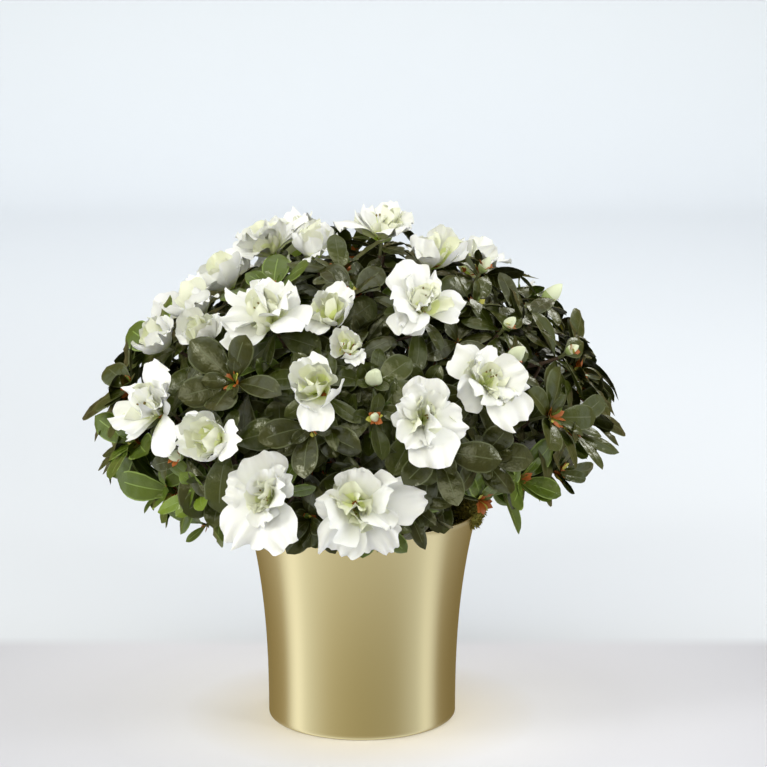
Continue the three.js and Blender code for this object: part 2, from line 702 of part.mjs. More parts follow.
// A thin blade over a leaf's edge, to find whether the leaf would touch what has grown already
function probe(root, [near, tip, far]) {
  const outline = [root, near, tip, far];
  const normal = far.clone().sub(near).cross(tip.clone().sub(root)).normalize();
  const middle = near.clone().lerp(far, 0.5);
  const faces = [stepped(middle, normal, -PROBE_THICKNESS), stepped(middle, normal, PROBE_THICKNESS)];
  const triangles = outline.flatMap((_, i) => [[i, (i + 1) % 4, 4], [(i + 1) % 4, i, 5]]);
  return solidFrom([...outline, ...faces], triangles);
}

// A mass grows from one stem: branchlets, then shoots, with each leaf held clear of those before it
function foliage(mass, tips, seed) {
  const random = seeded(seed);
  const pieces = branchlets(mass);
  const inRoom = leafRoom(mass, tips);
  let grown = pieces.reduce((whole, piece) => whole.add(piece));
  for (const { route } of mass.tips) {
    grown = grown.add(limb([route.start, route.bend, route.collar, route.neck], () => TWIG_RADIUS, 3, 3));
  }
  for (const tip of mass.tips) {
    tip.first = 360 * random();
    tip.head = headOf(tip, tips, random);
    const neck = twigRing(tip.route.neck, tip.facing, tip.facing, tip.first, TWIG_RADIUS);
    if (tip.head.rings.length) grown = grown.add(skin([neck, ...tip.head.rings], tip.head.end));
  }
  const leavesFit = (root, edge) => {
    if (!withMiddles([root, ...edge]).every(inRoom)) return false;
    const blade = probe(root, edge);
    if (grown.intersect(blade).volume() > 0) return false;
    grown = grown.add(blade);
    return true;
  };
  mass.tips.forEach((tip) => pieces.push(shoot(tip, leavesFit, random)));
  return mainBody(pieces.reduce((whole, piece) => whole.add(piece)));
}

function paint(color, roughness, metalness = 0) {
  return new THREE.MeshStandardMaterial({ color, roughness, metalness });
}

function azalea() {
  const bark = paint(0x5b4636, 0.85);
  const leafGreen = paint(0x35452a, 0.45);
  const plant = new THREE.Group();
  plant.add(nodeFrom("pot", pot(), paint(0xc4ab66, 0.35, 1)));
  plant.add(nodeFrom("soil", soil(), paint(0x2b1d14, 0.95)));
  plant.add(nodeFrom("moss", moss(), paint(0x7d7326, 0.95)));

  const masses = massList();
  const placed = [...NEAR_TIPS.map(tipAt), ...farTips()];
  const tips = [...placed, ...latticeTips(placed)];
  shareOut(tips, masses);
  tips.forEach((tip) => settle(tip, masses));

  plant.add(nodeFrom("trunk", trunk(masses[0]), bark));
  const trunkRoom = trunk(masses[0], CLEARANCE);
  masses.forEach((mass, order) => {
    if (mass.ring !== "top") plant.add(nodeFrom(`bough_${mass.name}`, bough(mass, trunkRoom), bark));
    plant.add(nodeFrom(`foliage_${mass.name}`, foliage(mass, tips, 100 + order), leafGreen));
  });
  return plant;
}

const group = azalea();

export default group;
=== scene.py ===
# %% [markdown]
# # A potted azalea, dressed in Blender
#
# The plant is a small azalea in full flower: a short trunk and a dozen boughs inside, whorls of leathery
# leaves all over a low dome, double white flowers and buds among them, and a flared pot of satin
# gold-coloured metal with moss on its soil. A plain solid model of it, already measured, is loaded first.
# Everything below is built round that model in metres, with the origin in the middle of the pot's underside,
# +Z up and -Y towards the viewer, so each finished piece takes the place of a plain solid.

# %% Load the plain model
import math

import bpy
import numpy as np
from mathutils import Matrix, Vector, noise


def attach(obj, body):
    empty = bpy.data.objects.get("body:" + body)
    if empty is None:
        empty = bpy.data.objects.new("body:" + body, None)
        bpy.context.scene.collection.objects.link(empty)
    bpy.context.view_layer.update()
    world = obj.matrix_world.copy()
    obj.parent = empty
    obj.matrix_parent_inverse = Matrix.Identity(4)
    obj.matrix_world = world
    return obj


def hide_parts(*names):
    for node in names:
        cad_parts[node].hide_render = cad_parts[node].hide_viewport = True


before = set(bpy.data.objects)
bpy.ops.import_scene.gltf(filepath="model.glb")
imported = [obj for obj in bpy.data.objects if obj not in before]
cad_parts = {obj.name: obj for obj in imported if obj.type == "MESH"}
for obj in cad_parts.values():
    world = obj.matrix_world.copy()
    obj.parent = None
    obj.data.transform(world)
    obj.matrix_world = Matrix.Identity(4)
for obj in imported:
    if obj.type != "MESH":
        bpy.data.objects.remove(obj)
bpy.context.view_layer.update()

# %% [markdown]
# ## The sizes that the whole plant shares
#
# A potted plant is easiest to keep in order when its main sizes stand in one place. The pot swings out
# towards its rim by a power curve. The crown is a dome over a skirt that hangs round the rim, and its
# outline is worked out from three radii. The ends of the limbs and all shoots point away from one place low
# in the crown, its heart. These are the same sizes as the plain model's, in millimetres, and they are
# turned into metres only when a mesh is made.

# %% Sizes of the pot, the limbs and the crown
MM = 0.001
POT_HEIGHT = 152
RIM_RADIUS = 82.5
FOOT_RADIUS = 67
FLARE_POWER = 2.5
WALL = 2
SOIL_TOP = 141

HEART = Vector((0, 0, 178))
LIMB_LENGTH = 58

CROWN_CENTRE = Vector((-8, 0, 237))
CROWN_RADIUS = 190
CROWN_RISE = 124
CROWN_DROP = 145


def pot_radius(height):
    return FOOT_RADIUS + (RIM_RADIUS - FOOT_RADIUS) * (height / POT_HEIGHT) ** FLARE_POWER


print("pot:", 2 * pot_radius(0), "mm across the foot and", 2 * pot_radius(POT_HEIGHT), "mm across the rim")
print("crown:", 2 * CROWN_RADIUS, "mm across, with its top at", CROWN_CENTRE.z + CROWN_RISE, "mm")

# %% [markdown]
# ## Chance that always falls the same way
#
# A living plant is never regular, but a model has to come out the same each time it is built. So every
# "random" number here comes from a small generator with a fixed start, which multiplies and adds whole
# numbers. Python's own random numbers would do for one script. The plain model was made by another program,
# though, and this rule is simple enough to give the same numbers in both.

# %% A generator that repeats its numbers
def seeded(seed):
    state = seed

    def draw():
        nonlocal state
        state = (state * 1664525 + 1013904223) & 0xFFFFFFFF
        return state / 2**32

    return draw


draw = seeded(1)
print("first three draws:", [round(draw(), 4) for _ in range(3)])

# %% [markdown]
# ## Directions
#
# A place on a round crown is easiest to tell as one points at a star: by an azimuth round the plant,
# counted from the viewer towards the right, and by a rise above the level. The helpers turn these into a
# direction, find two directions square to an axis, and lean an axis over. Blender's rotation objects could
# do the same, but a few sines show better what happens. The golden angle is the turn from one point of a
# spiral to the next that keeps them from ever standing in rows.

# %% Directions from angles
UP = Vector((0, 0, 1))
GOLDEN_ANGLE = 137.5


def direction_of(azimuth, rise):
    a, e = math.radians(azimuth), math.radians(rise)
    return Vector((math.sin(a) * math.cos(e), -math.cos(a) * math.cos(e), math.sin(e)))


def across(axis):
    side = UP.cross(axis)
    if side.length < 0.1:
        side = Vector((1, 0, 0))
    side.normalize()
    return side, axis.cross(side)


def leaning(axis, lean, turn):
    side, up = across(axis)
    tilt, angle = math.radians(lean), math.radians(turn)
    return axis * math.cos(tilt) + (side * math.cos(angle) + up * math.sin(angle)) * math.sin(tilt)


print("azimuth 90, rise 0 points to the right:", [round(value, 3) for value in direction_of(90, 0)])

# %% [markdown]
# ## Grids of points and faces
#
# Nearly every form on the plant, from the pot to a petal, can be laid out as a grid: rows of points, with a
# four-cornered face between each four neighbours. A loop over thousands of leaves would be slow, so the
# numbers of the faces' corners are worked out for whole arrays at once.

# %% Faces of a grid, of many copies, and of joined parts
def grid_faces(rows, columns, wrap=False):
    """The four-cornered faces of a grid of points, row by row. With wrap, each row closes on itself."""
    row, column = np.meshgrid(np.arange(rows - 1), np.arange(columns - (0 if wrap else 1)), indexing="ij")
    here = row * columns + column
    right = row * columns + (column + 1) % columns
    return np.stack([here, right, right + columns, here + columns], axis=-1).reshape(-1, 4)


def repeated(faces, points_each, copies):
    """The same faces for every copy of a form whose points follow one another in a list."""
    steps = np.arange(copies)[:, None, None] * points_each
    return (faces[None] + steps).reshape(-1, faces.shape[1])


def joined(parts):
    """Several (points, faces) as one."""
    points, faces, start = [], [], 0
    for part_points, part_faces in parts:
        points.append(part_points)
        faces.append(part_faces + start)
        start += len(part_points)
    return np.vstack(points), np.vstack(faces)


def as_array(vectors):
    return np.array([tuple(vector) for vector in vectors])


print("a 3 by 3 grid has", len(grid_faces(3, 3)), "faces, or", len(grid_faces(3, 3, wrap=True)), "as a ring")

# %% [markdown]
# ## Turning arrays into meshes
#
# The plant has thousands of leaves and petals. Blender could scatter copies of one leaf as instances, but
# each leaf here bends and folds in its own way, so all of a kind are worked out together as arrays of
# points and joined in one mesh. A helper makes the mesh, gives every face one of the piece's finishes,
# smooths it, and says which plain solids it takes the place of.

# %% Make a mesh piece from arrays
def mesh_piece(name, points_mm, faces, finishes, finish_of_face=None, stands_for=()):
    mesh = bpy.data.meshes.new(name)
    mesh.from_pydata(np.asarray(points_mm) * MM, [], np.asarray(faces))
    for finish in finishes:
        mesh.materials.append(finish)
    if finish_of_face is not None:
        mesh.polygons.foreach_set("material_index", np.asarray(finish_of_face, dtype=np.int32))
    mesh.polygons.foreach_set("use_smooth", np.ones(len(mesh.polygons), dtype=bool))
    mesh.update()
    piece = bpy.data.objects.new(name, mesh)
    bpy.context.collection.objects.link(piece)
    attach(piece, "root")
    if stands_for:
        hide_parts(*stands_for)
    print(name, "has", len(mesh.polygons), "faces")
    return piece


print("points are worked out in millimetres and shrunk by", MM, "when they become a mesh")

# %% [markdown]
# ## Finishes
#
# A finish is a small network of nodes. They all start from Blender's Principled shader, which covers metal,
# bark, leaf and petal alike. Colours that have a place, such as the green of a throat, are not painted by a
# pattern: they are plain colours given to faces, so they stay where they belong when the model is exported.

# %% A plain finish
def plain_finish(name, colour, roughness, **settings):
    """A finish of one colour. Further settings are named after the shader's own, such as coat_weight."""
    finish = bpy.data.materials.new(name)
    finish.use_nodes = True
    shader = finish.node_tree.nodes["Principled BSDF"]
    shader.inputs["Base Color"].default_value = (*colour, 1)
    shader.inputs["Roughness"].default_value = roughness
    for setting, value in settings.items():
        shader.inputs[setting.replace("_", " ").title()].default_value = value
    return finish


print("materials before the first finish:", len(bpy.data.materials))

# %% [markdown]
# ## Grain, and a slight drift of colour
#
# Nothing on a plant is quite smooth or of one even colour. Fine texture, such as the bristly skin of a
# leaf, comes from noise that nudges the surface through a Bump node, and a coarser noise lets the base
# colour drift a little. Images could do both, but noise fills space by itself, so the meshes need no flat
# layout.

# %% Grain and drift
def add_grain(finish, grains_per_metre, depth_mm, detail=4):
    """Noise of the given scale lifts and sinks the surface by about depth_mm."""
    nodes, links = finish.node_tree.nodes, finish.node_tree.links
    place = nodes.new("ShaderNodeTexCoord")
    grain = nodes.new("ShaderNodeTexNoise")
    grain.inputs["Scale"].default_value = grains_per_metre
    grain.inputs["Detail"].default_value = detail
    bump = nodes.new("ShaderNodeBump")
    bump.inputs["Distance"].default_value = depth_mm * MM
    links.new(place.outputs["Object"], grain.inputs["Vector"])
    links.new(grain.outputs["Fac"], bump.inputs["Height"])
    links.new(bump.outputs["Normal"], nodes["Principled BSDF"].inputs["Normal"])
    links.new(bump.outputs["Normal"], nodes["Principled BSDF"].inputs["Coat Normal"])
    return finish


def add_drift(finish, other_colour, patches_per_metre, sharpness=0.25):
    """The base colour drifts towards another in soft patches."""
    nodes, links = finish.node_tree.nodes, finish.node_tree.links
    shader = nodes["Principled BSDF"]
    place = nodes.new("ShaderNodeTexCoord")
    patches = nodes.new("ShaderNodeTexNoise")
    patches.inputs["Scale"].default_value = patches_per_metre
    ramp = nodes.new("ShaderNodeValToRGB")
    ramp.color_ramp.elements[0].position = 0.5 - sharpness
    ramp.color_ramp.elements[1].position = 0.5 + sharpness
    ramp.color_ramp.elements[0].color = shader.inputs["Base Color"].default_value
    ramp.color_ramp.elements[1].color = (*other_colour, 1)
    links.new(place.outputs["Object"], patches.inputs["Vector"])
    links.new(patches.outputs["Fac"], ramp.inputs["Fac"])
    links.new(ramp.outputs["Color"], shader.inputs["Base Color"])
    return finish


print("noise at 500 grains per metre has a grain every", round(1 / 500 / MM), "mm")

# %% [markdown]
# ## The pot
#
# The pot is a cover pot of thin metal, spun to a slightly flared cone with a neat rim. It could be a
# cylinder bent by a lattice, but a turned form is best made as a lathe does it: a profile of radius and
# height is swept round the axis. The rim is a small half round, because a thin bright line along it is the
# first thing that shows a pot's wall has thickness.

# %% Sweep the pot's profile
POT_SIDES = 160


def turned(profile, sides):
    angles = 2 * np.pi * np.arange(sides) / sides
    radius, height = np.array(profile, dtype=float).T
    points = np.stack(
        [
            radius[:, None] * np.cos(angles),
            radius[:, None] * np.sin(angles),
            np.repeat(height[:, None], sides, axis=1),
        ],
        axis=-1,
    ).reshape(-1, 3)
    return points, grid_faces(len(profile), sides, wrap=True)


def pot_profile():
    """Radius and height along the foot, up the outer wall, over the lip and down to the floor inside."""
    centre_dot, foot_round, lip_round = 0.5, 2.5, WALL / 2
    foot = [(centre_dot, 0), (0.5 * FOOT_RADIUS, 0), (FOOT_RADIUS - foot_round - 1, 0)]
    for step in range(5):
        angle = math.radians(90 * step / 4)
        out = FOOT_RADIUS - foot_round * (1 - math.sin(angle))
        foot.append((out, foot_round * (1 - math.cos(angle))))
    outer = [(pot_radius(z), z) for z in np.linspace(4, POT_HEIGHT - 1.2, 40)]
    middle = pot_radius(POT_HEIGHT) - lip_round
    lip = []
    for step in range(7):
        angle = math.radians(180 * step / 6)
        out = middle + math.cos(angle) * lip_round
        lip.append((out, POT_HEIGHT - lip_round + math.sin(angle) * lip_round))
    inner = [(pot_radius(z) - WALL, z) for z in np.linspace(POT_HEIGHT - 1.4, WALL, 24)]
    return foot + outer + lip + inner + [(centre_dot, WALL)]


pot_points, pot_faces = turned(pot_profile(), POT_SIDES)
print("the pot's profile has", len(pot_profile()), "points")

# %% [markdown]
# ## The pot's metal
#
# The metal has a satin, gold-coloured coat, and spinning leaves faint rings round it. The rings are noise
# again, but squeezed along the pot's height until its grains are thin rings. They blur a mirror image more
# up and down than sideways, which is why the room shows as upright bands. Anisotropy in the shader would
# give such a blur too, but the rings also show close to.

# %% Finish the pot
def brushed_gold():
    finish = plain_finish("brushed_gold", (0.78, 0.67, 0.37), 0.25, metallic=1.0)
    nodes, links = finish.node_tree.nodes, finish.node_tree.links
    place = nodes.new("ShaderNodeTexCoord")
    stretch = nodes.new("ShaderNodeMapping")
    stretch.inputs["Scale"].default_value = (3, 3, 900)
    rings = nodes.new("ShaderNodeTexNoise")
    rings.inputs["Scale"].default_value = 3
    rings.inputs["Detail"].default_value = 3
    bump = nodes.new("ShaderNodeBump")
    bump.inputs["Distance"].default_value = 0.02 * MM
    bump.inputs["Strength"].default_value = 0.5
    links.new(place.outputs["Object"], stretch.inputs["Vector"])
    links.new(stretch.outputs["Vector"], rings.inputs["Vector"])
    links.new(rings.outputs["Fac"], bump.inputs["Height"])
    links.new(bump.outputs["Normal"], nodes["Principled BSDF"].inputs["Normal"])
    return finish


mesh_piece("cover_pot", pot_points, pot_faces, [brushed_gold()], stands_for=["pot"])

# %% [markdown]
# ## Soil
#
# The root ball's top is dark damp peat, which falls off a little towards the pot's wall. A flat disc with a
# Displace modifier would do, but a heightfield is as easy: a round grid of points, each lifted by coarse
# noise for the lumps and by fine noise for the crumbs.

# %% A round field of crumbs
def round_field(inner, outer, rings, sides, height_at):
    radius = np.linspace(inner, outer, rings)
    angle = 2 * np.pi * np.arange(sides) / sides
    x, y = radius[:, None] * np.cos(angle), radius[:, None] * np.sin(angle)
    z = np.array([height_at(px, py) for px, py in zip(x.ravel(), y.ravel())]).reshape(x.shape)
    return np.stack([x, y, z], axis=-1).reshape(-1, 3), grid_faces(rings, sides, wrap=True)


def crumb_height(x, y):
    lump = noise.noise(Vector((x, y, 3)) * 0.09)
    crumb = noise.noise(Vector((x, y, 7)) * 0.45)
    edge = max(0, math.hypot(x, y) - 64) / 12
    return SOIL_TOP + 1.2 * lump + 1.1 * crumb - 2 * edge


POT_INSIDE = pot_radius(SOIL_TOP) - WALL
damp_peat = add_grain(plain_finish("damp_peat", (0.028, 0.017, 0.010), 0.9), 900, 0.8)
soil_points, soil_faces = round_field(0.5, POT_INSIDE - 0.3, 46, 150, crumb_height)
mesh_piece("peat_surface", soil_points, soil_faces, [damp_peat], stands_for=["soil"])

# %% [markdown]
# ## Cushions of moss
#
# Moss has grown over the soil in soft cushions and leaves only the trunk's foot bare. They could be
# sculpted with a brush, but a second heightfield with softer noise comes out the same each time. Spots are
# strewn over it too, where blades will stand later. A square root in their distance from the middle keeps
# them from crowding there.

# %% The cushions, and spots for their blades
BARE_MIDDLE = 17
CARPET_SPOTS = 2600


def moss_height(x, y):
    cushions = noise.noise(Vector((x, y, 11)) * 0.055) + 0.5 * noise.noise(Vector((x, y, 5)) * 0.16)
    nearness = min(1, max(0, (math.hypot(x, y) - (BARE_MIDDLE - 1)) / 14))
    return SOIL_TOP - 2 + nearness * (4.5 + 5.5 * cushions)


moss_draw = seeded(77)
cushion_points, cushion_faces = round_field(BARE_MIDDLE, POT_INSIDE - 0.6, 40, 150, moss_height)
carpet = []
for _ in range(CARPET_SPOTS):
    far = BARE_MIDDLE + 60 * math.sqrt(moss_draw())
    spot = direction_of(360 * moss_draw(), 0) * far
    if far < POT_INSIDE - 1.5:
        carpet.append((Vector((spot.x, spot.y, moss_height(spot.x, spot.y))), UP))
print(len(carpet), "spots on the cushions")

# %% [markdown]
# ## The clump on the rim
#
# At the right the moss climbs over the rim in one golden clump. A metaball would melt three balls into one
# lump, but what shows of moss is its blades, so three rough balls that overlap are enough under them. Spots
# for blades wind round each ball by the golden angle.

# %% Three lumps of moss
CLUMP = Vector((79, -8, 155))
SPOTS_PER_LUMP = 260


def clump_lumps(random):
    """The centres and radii of the three lumps that climb the rim."""
    steps = [Vector((-3 * abs(lump), 8 * lump, -3 - 2 * abs(lump))) for lump in (-1, 0, 1)]
    return [(CLUMP + step, 8 + 1.5 * random()) for step in steps]


def lump_part(centre, radius):
    """The rounded body of a lump, rough with noise."""
    rises, sides = np.linspace(-86, 86, 13), 20
    ways = [direction_of(360 * k / sides, rise) for rise in rises for k in range(sides)]
    points = [centre + way * radius * (0.92 + 0.3 * noise.noise(way * 2.5 + centre)) for way in ways]
    return as_array(points), grid_faces(len(rises), sides, wrap=True)


def lump_spots(centre, radius):
    """Points all over a lump, each with its outward direction."""
    rises = [-75 + 160 * k / SPOTS_PER_LUMP for k in range(SPOTS_PER_LUMP)]
    ways = [direction_of(GOLDEN_ANGLE * k, rise) for k, rise in enumerate(rises)]
    return [(centre + way * radius, way) for way in ways]


lumps = clump_lumps(moss_draw)
clump_spots = [spot for lump in lumps for spot in lump_spots(*lump)]
print(len(lumps), "lumps with", len(clump_spots), "spots")

# %% [markdown]
# ## Blades of moss
#
# Noise alone leaves moss looking like wet clay. A soft broken edge is what the eye takes for moss, so short
# blades stand on it in thousands. Blender's hair would be the usual way, but the exported model loses hair,
# so each blade is a mesh of a single face, pointed at both ends.

# %% Blades, and all the moss in one piece
BLADES_PER_SPOT = 3


def moss_blades(spots, random):
    points = []
    for spot, outwards in spots:
        for _ in range(BLADES_PER_SPOT):
            lean = leaning(outwards, 10 + 45 * random(), 360 * random())
            side = lean.cross(Vector((random() - 0.5, random() - 0.5, random() - 0.5))).normalized()
            length, width = 1.8 + 2.2 * random(), 0.35 + 0.3 * random()
            root = spot + side * (random() - 0.5) * 2.5 - outwards * 0.8
            middle = root + lean * length * 0.55
            points += [root, middle - side * width, root + lean * length, middle + side * width]
    return as_array(points), np.arange(len(points)).reshape(-1, 4)


moss_golden = add_drift(plain_finish("moss_golden", (0.29, 0.23, 0.035), 0.95), (0.14, 0.14, 0.02), 60)
moss_green = add_drift(plain_finish("moss_green", (0.11, 0.14, 0.022), 0.95), (0.22, 0.18, 0.03), 60)
blades = moss_blades(carpet + clump_spots, moss_draw)
moss_parts = [(cushion_points, cushion_faces)] + [lump_part(*lump) for lump in lumps] + [blades]
moss_points, moss_faces = joined(moss_parts)
blade_number = np.arange(len(blades[1]))
is_green = np.zeros(len(moss_faces), dtype=int)
is_green[-len(blade_number):] = (blade_number // 7) % 3 == 0  # every third run of seven blades
mesh_piece("moss_cushions", moss_points, moss_faces, [moss_golden, moss_green], is_green, ["moss"])

# %% [markdown]
# ## The shoots that show from the front
#
# On the real shrub each shoot ends in a whorl of leaves, a bud or a flower. A rule alone could strew them,
# but the eye knows a plant by its flowers. So the ones that show from the front are listed one by one: what
# each ends in, the azimuth and rise at which it was found, the share of the crown's reach at which it
# stands, and the size of its flower, bud or leaves in millimetres.

# %% The flowers, buds and leading shoots of the near side
NEAR_TIPS = [
    ("open", -88, 61, 0.93, 31),
    ("half", -50, 73, 0.88, 27),
    ("half", -70, 43, 0.9, 26),
    ("half", -63, 31, 0.9, 28),
    ("half", -46, 23, 0.9, 24),
    ("open", -26, 31, 0.95, 36),
    ("half", -61, 19, 0.92, 25),
    ("half", -6, 34, 0.9, 24),
    ("half", 0, 23, 0.9, 18),
    ("half", -6, 12, 0.95, 28),
    ("bud", 5, 14, 0.94, 18),
    ("bud", 6, 6, 0.92, 10),
    ("open", -47, 4, 0.95, 33),
    ("half", -29, 0, 0.95, 27),
    ("bud", -40, -5, 0.94, 13),
    ("open", -17, -11, 0.97, 34),
    ("open", 2, -13, 0.97, 36),
    ("open", 85, 79, 0.95, 30),
    ("half", 60, 56, 0.93, 28),
    ("open", 26, 36, 0.95, 31),
    ("bud", 79, 44, 0.96, 12),
    ("bud", 90, 26, 1.0, 17),
    ("bud", 53, 25, 0.94, 12),
    ("bud", 47, 17, 0.94, 17),
    ("open", 33, 12, 0.96, 34),
    ("open", 17, 6, 0.96, 33),
    ("bud", 69, 14, 0.96, 10),
    ("leaf", 20, -2, 0.9, 46),
    ("leaf", -8, 3, 0.84, 44),
    ("leaf", 2, 44, 0.84, 36),
    ("leaf", 53, 1, 0.88, 42),
    ("leaf", -67, 5, 0.85, 40),
]
print(len(NEAR_TIPS), "shoots are listed by hand")

# %% [markdown]
# ## The crown's outline
#
# The crown is rounder than a cone and squarer than a ball. A stretched ball would be simplest, but one
# formula gives all of these: the level and the upright shares of a direction are raised to a power before
# they are added. A higher power makes a fuller shoulder. The left shoulder is a little thinner than the
# rest, so the shoots that aren't listed reach less far there.

# %% How far the crown reaches, and a shoot's tip
SHOULDER_POWER = 1.65
SKIRT_POWER = 2
SLACK = {"azimuth": -100, "rise": 32, "width": 32, "share": 0.16}
FLOWER_REACH = {"open": 1.04, "half": 0.95, "bud": 0.75, "leaf": 0}


def crown_point(azimuth, rise, share, depth=0):
    direction = direction_of(azimuth, rise)
    rising = direction.z >= 0
    power = SHOULDER_POWER if rising else SKIRT_POWER
    level = math.hypot(direction.x, direction.y) / CROWN_RADIUS
    upright = abs(direction.z) / (CROWN_RISE if rising else CROWN_DROP)
    reach = (level**power + upright**power) ** (-1 / power)
    return CROWN_CENTRE + direction * (reach * share - depth)


def fullness(azimuth, rise):
    """How much of the crown's reach its unlisted shoots have. The left shoulder has less."""
    away = math.degrees(direction_of(azimuth, rise).angle(direction_of(SLACK["azimuth"], SLACK["rise"])))
    return 1 - SLACK["share"] * math.exp(-((away / SLACK["width"]) ** 2))


def tip_at(kind, azimuth, rise, share, size, depth=0):
    place = crown_point(azimuth, rise, share, depth)
    facing = (place - HEART).normalized()
    return {"kind": kind, "size": size, "place": place, "facing": facing, "room": FLOWER_REACH[kind] * size}


print("straight up the crown reaches", round((crown_point(0, 90, 1) - CROWN_CENTRE).length), "mm")

# %% [markdown]
# ## The far side
#
# Nobody sees the far side in the photo, but a plant is looked at from all sides. It gets four level rows of
# the same flowers and buds, each a little out of line. The listed shoots could be mirrored instead, but
# then both sides would look alike from the side.

# %% Rows of flowers behind
FAR_ROWS = [(-8, 4), (14, 5), (35, 4), (58, 2)]
FAR_FROM, FAR_TO = 112, 250
FAR_FLOWERS = [("open", 33), ("half", 26), ("open", 31), ("bud", 15)]


def far_tips():
    random = seeded(5)
    tips = []
    for row, (rise, count) in enumerate(FAR_ROWS):
        pitch = (FAR_TO - FAR_FROM) / count
        for k in range(count):
            azimuth = FAR_FROM + pitch * (k + 0.5 + 0.3 * (random() - 0.5))
            kind, size = FAR_FLOWERS[(k + row) % len(FAR_FLOWERS)]
            own_rise = rise + 6 * (random() - 0.5)
            tips.append(tip_at(kind, azimuth, own_rise, 0.94 * fullness(azimuth, own_rise), size))
    return tips


placed = [tip_at(*row) for row in NEAR_TIPS] + far_tips()
print(len(placed) - len(NEAR_TIPS), "flowers and buds on the far side")

# %% [markdown]
# ## Leaf shoots between the flowers
#
# Leaf shoots fill what is left. Points drawn at random would leave gaps and heaps. So candidates wind down
# the dome on a spiral with the golden angle, which spreads them evenly, and any that crowds a neighbour,
# stands over the pot or hangs too low is dropped.

# %% Fill the crown
LATTICE_POINTS = 420
LATTICE_LEAF = 43
LATTICE_DEPTH = 26
TIP_SPACING = 32
LOWEST_TIP = 179
SKIRT_TILT = 0.08


def lattice_tips(taken):
    random = seeded(23)
    tips = []
    for k in range(LATTICE_POINTS):
        rise = math.degrees(math.asin(1 - (1.62 * (k + 0.5)) / LATTICE_POINTS))
        depth = LATTICE_DEPTH + 6 * (random() - 0.5)
        size = LATTICE_LEAF * (0.9 + 0.2 * random())
        azimuth = (GOLDEN_ANGLE * k) % 360
        tip = tip_at("leaf", azimuth, rise, fullness(azimuth, rise), size, depth)
        x, y, z = tip["place"]
        over_pot = math.hypot(x, y) < RIM_RADIUS + 14 and z < POT_HEIGHT + 32
        rooms = [(other["place"], TIP_SPACING + 0.3 * other["room"]) for other in taken + tips]
        crowded = any((place - tip["place"]).length < room for place, room in rooms)
        if not over_pot and not crowded and z > LOWEST_TIP + SKIRT_TILT * x:
            tips.append(tip)
    return tips


tips = placed + lattice_tips(placed)
print(len(tips), "shoots, of which", sum(tip["room"] > 0 for tip in tips), "end in a flower or bud")

# %% [markdown]
# ## Thirteen masses
#
# Each bough of the real shrub carries its own mass of twigs, and no twig crosses into a neighbour's. The
# masses could be grown one after the other until they meet, but it is simpler to settle them by direction:
# thirteen directions fan out from the heart of the crown in three rings.

# %% The directions of the masses
RINGS = [("top", 1, -30, 84), ("upper", 5, -36, 46), ("lower", 7, 0, 2)]


def mass_list():
    """Each ring is its name, the number of its masses, the azimuth of the first and the rise of all."""
    masses = []
    for label, count, first, rise in RINGS:
        for index in range(count):
            name = label if count == 1 else f"{label}_{index + 1}"
            direction = direction_of(first + 360 * index / count, rise)
            masses.append({"name": name, "ring": label, "index": index, "count": count,
                           "direction": direction})
    return masses


masses = mass_list()
print(len(masses), "masses:", [mass["name"] for mass in masses])

# %% [markdown]
# ## Sharing out the shoots
#
# A shoot goes to the mass whose direction is nearest to its own. Walls between the masses could be modelled
# as hidden meshes, but by this rule they are flat, and one product of vectors tells how far away they are.
# A tip that stands too near a wall is drawn in a little, so that its twig has room.

# %% Share the shoots out among the masses
WALL_MARGIN = 4


def inside_cone(point, mass):
    """How far a point stands inside its mass, measured from the nearest wall to a neighbour."""
    arm = point - HEART
    others = [other for other in masses if other is not mass]
    return min(arm.dot((mass["direction"] - other["direction"]).normalized()) for other in others)


def settle(tip):
    """Draw a tip inwards until it keeps its distance from the walls."""
    for _ in range(6):
        short = WALL_MARGIN - inside_cone(tip["place"], tip["mass"])
        if short <= 0:
            break
        facing = tip["facing"]
        direction = tip["mass"]["direction"]
        inwards = (direction - facing * direction.dot(facing)).normalized()
        tip["place"] = tip["place"] + inwards * (short + 1)
        tip["facing"] = (tip["place"] - HEART).normalized()


for tip in tips:
    tip["mass"] = max(masses, key=lambda mass: tip["facing"].dot(mass["direction"]))
for tip in tips:
    settle(tip)
for mass in masses:
    mass["tips"] = [tip for tip in tips if tip["mass"] is mass]
print({mass["name"]: len(mass["tips"]) for mass in masses})

# %% [markdown]
# ## Paths and tubes
#
# Limbs, twigs and the threads in a flower are all tubes along a bent path. A curve object with a thickness
# is the quick way, but its surface stays as smooth as a hose. Here a tube is built ring by ring along a
# smooth path, and a function gives the radius at every point of a ring, so that bark can have real relief.

# %% A smooth path, and a tube along it
def smooth_path(corners, steps):
    """Points on a curve through the corners, which eases round each of them."""
    corners = [corners[0] * 2 - corners[1]] + list(corners) + [corners[-1] * 2 - corners[-2]]
    spans = len(corners) - 3
    path = []
    for i in range(steps + 1):
        at = min(i / steps * spans, spans - 1e-6)
        k, t = int(at), at - int(at)
        a, b, c, d = corners[k : k + 4]
        turn = (2 * a - 5 * b + 4 * c - d) * t * t
        path.append(0.5 * (2 * b + (c - a) * t + turn + (3 * b - a - 3 * c + d) * t**3))
    return path


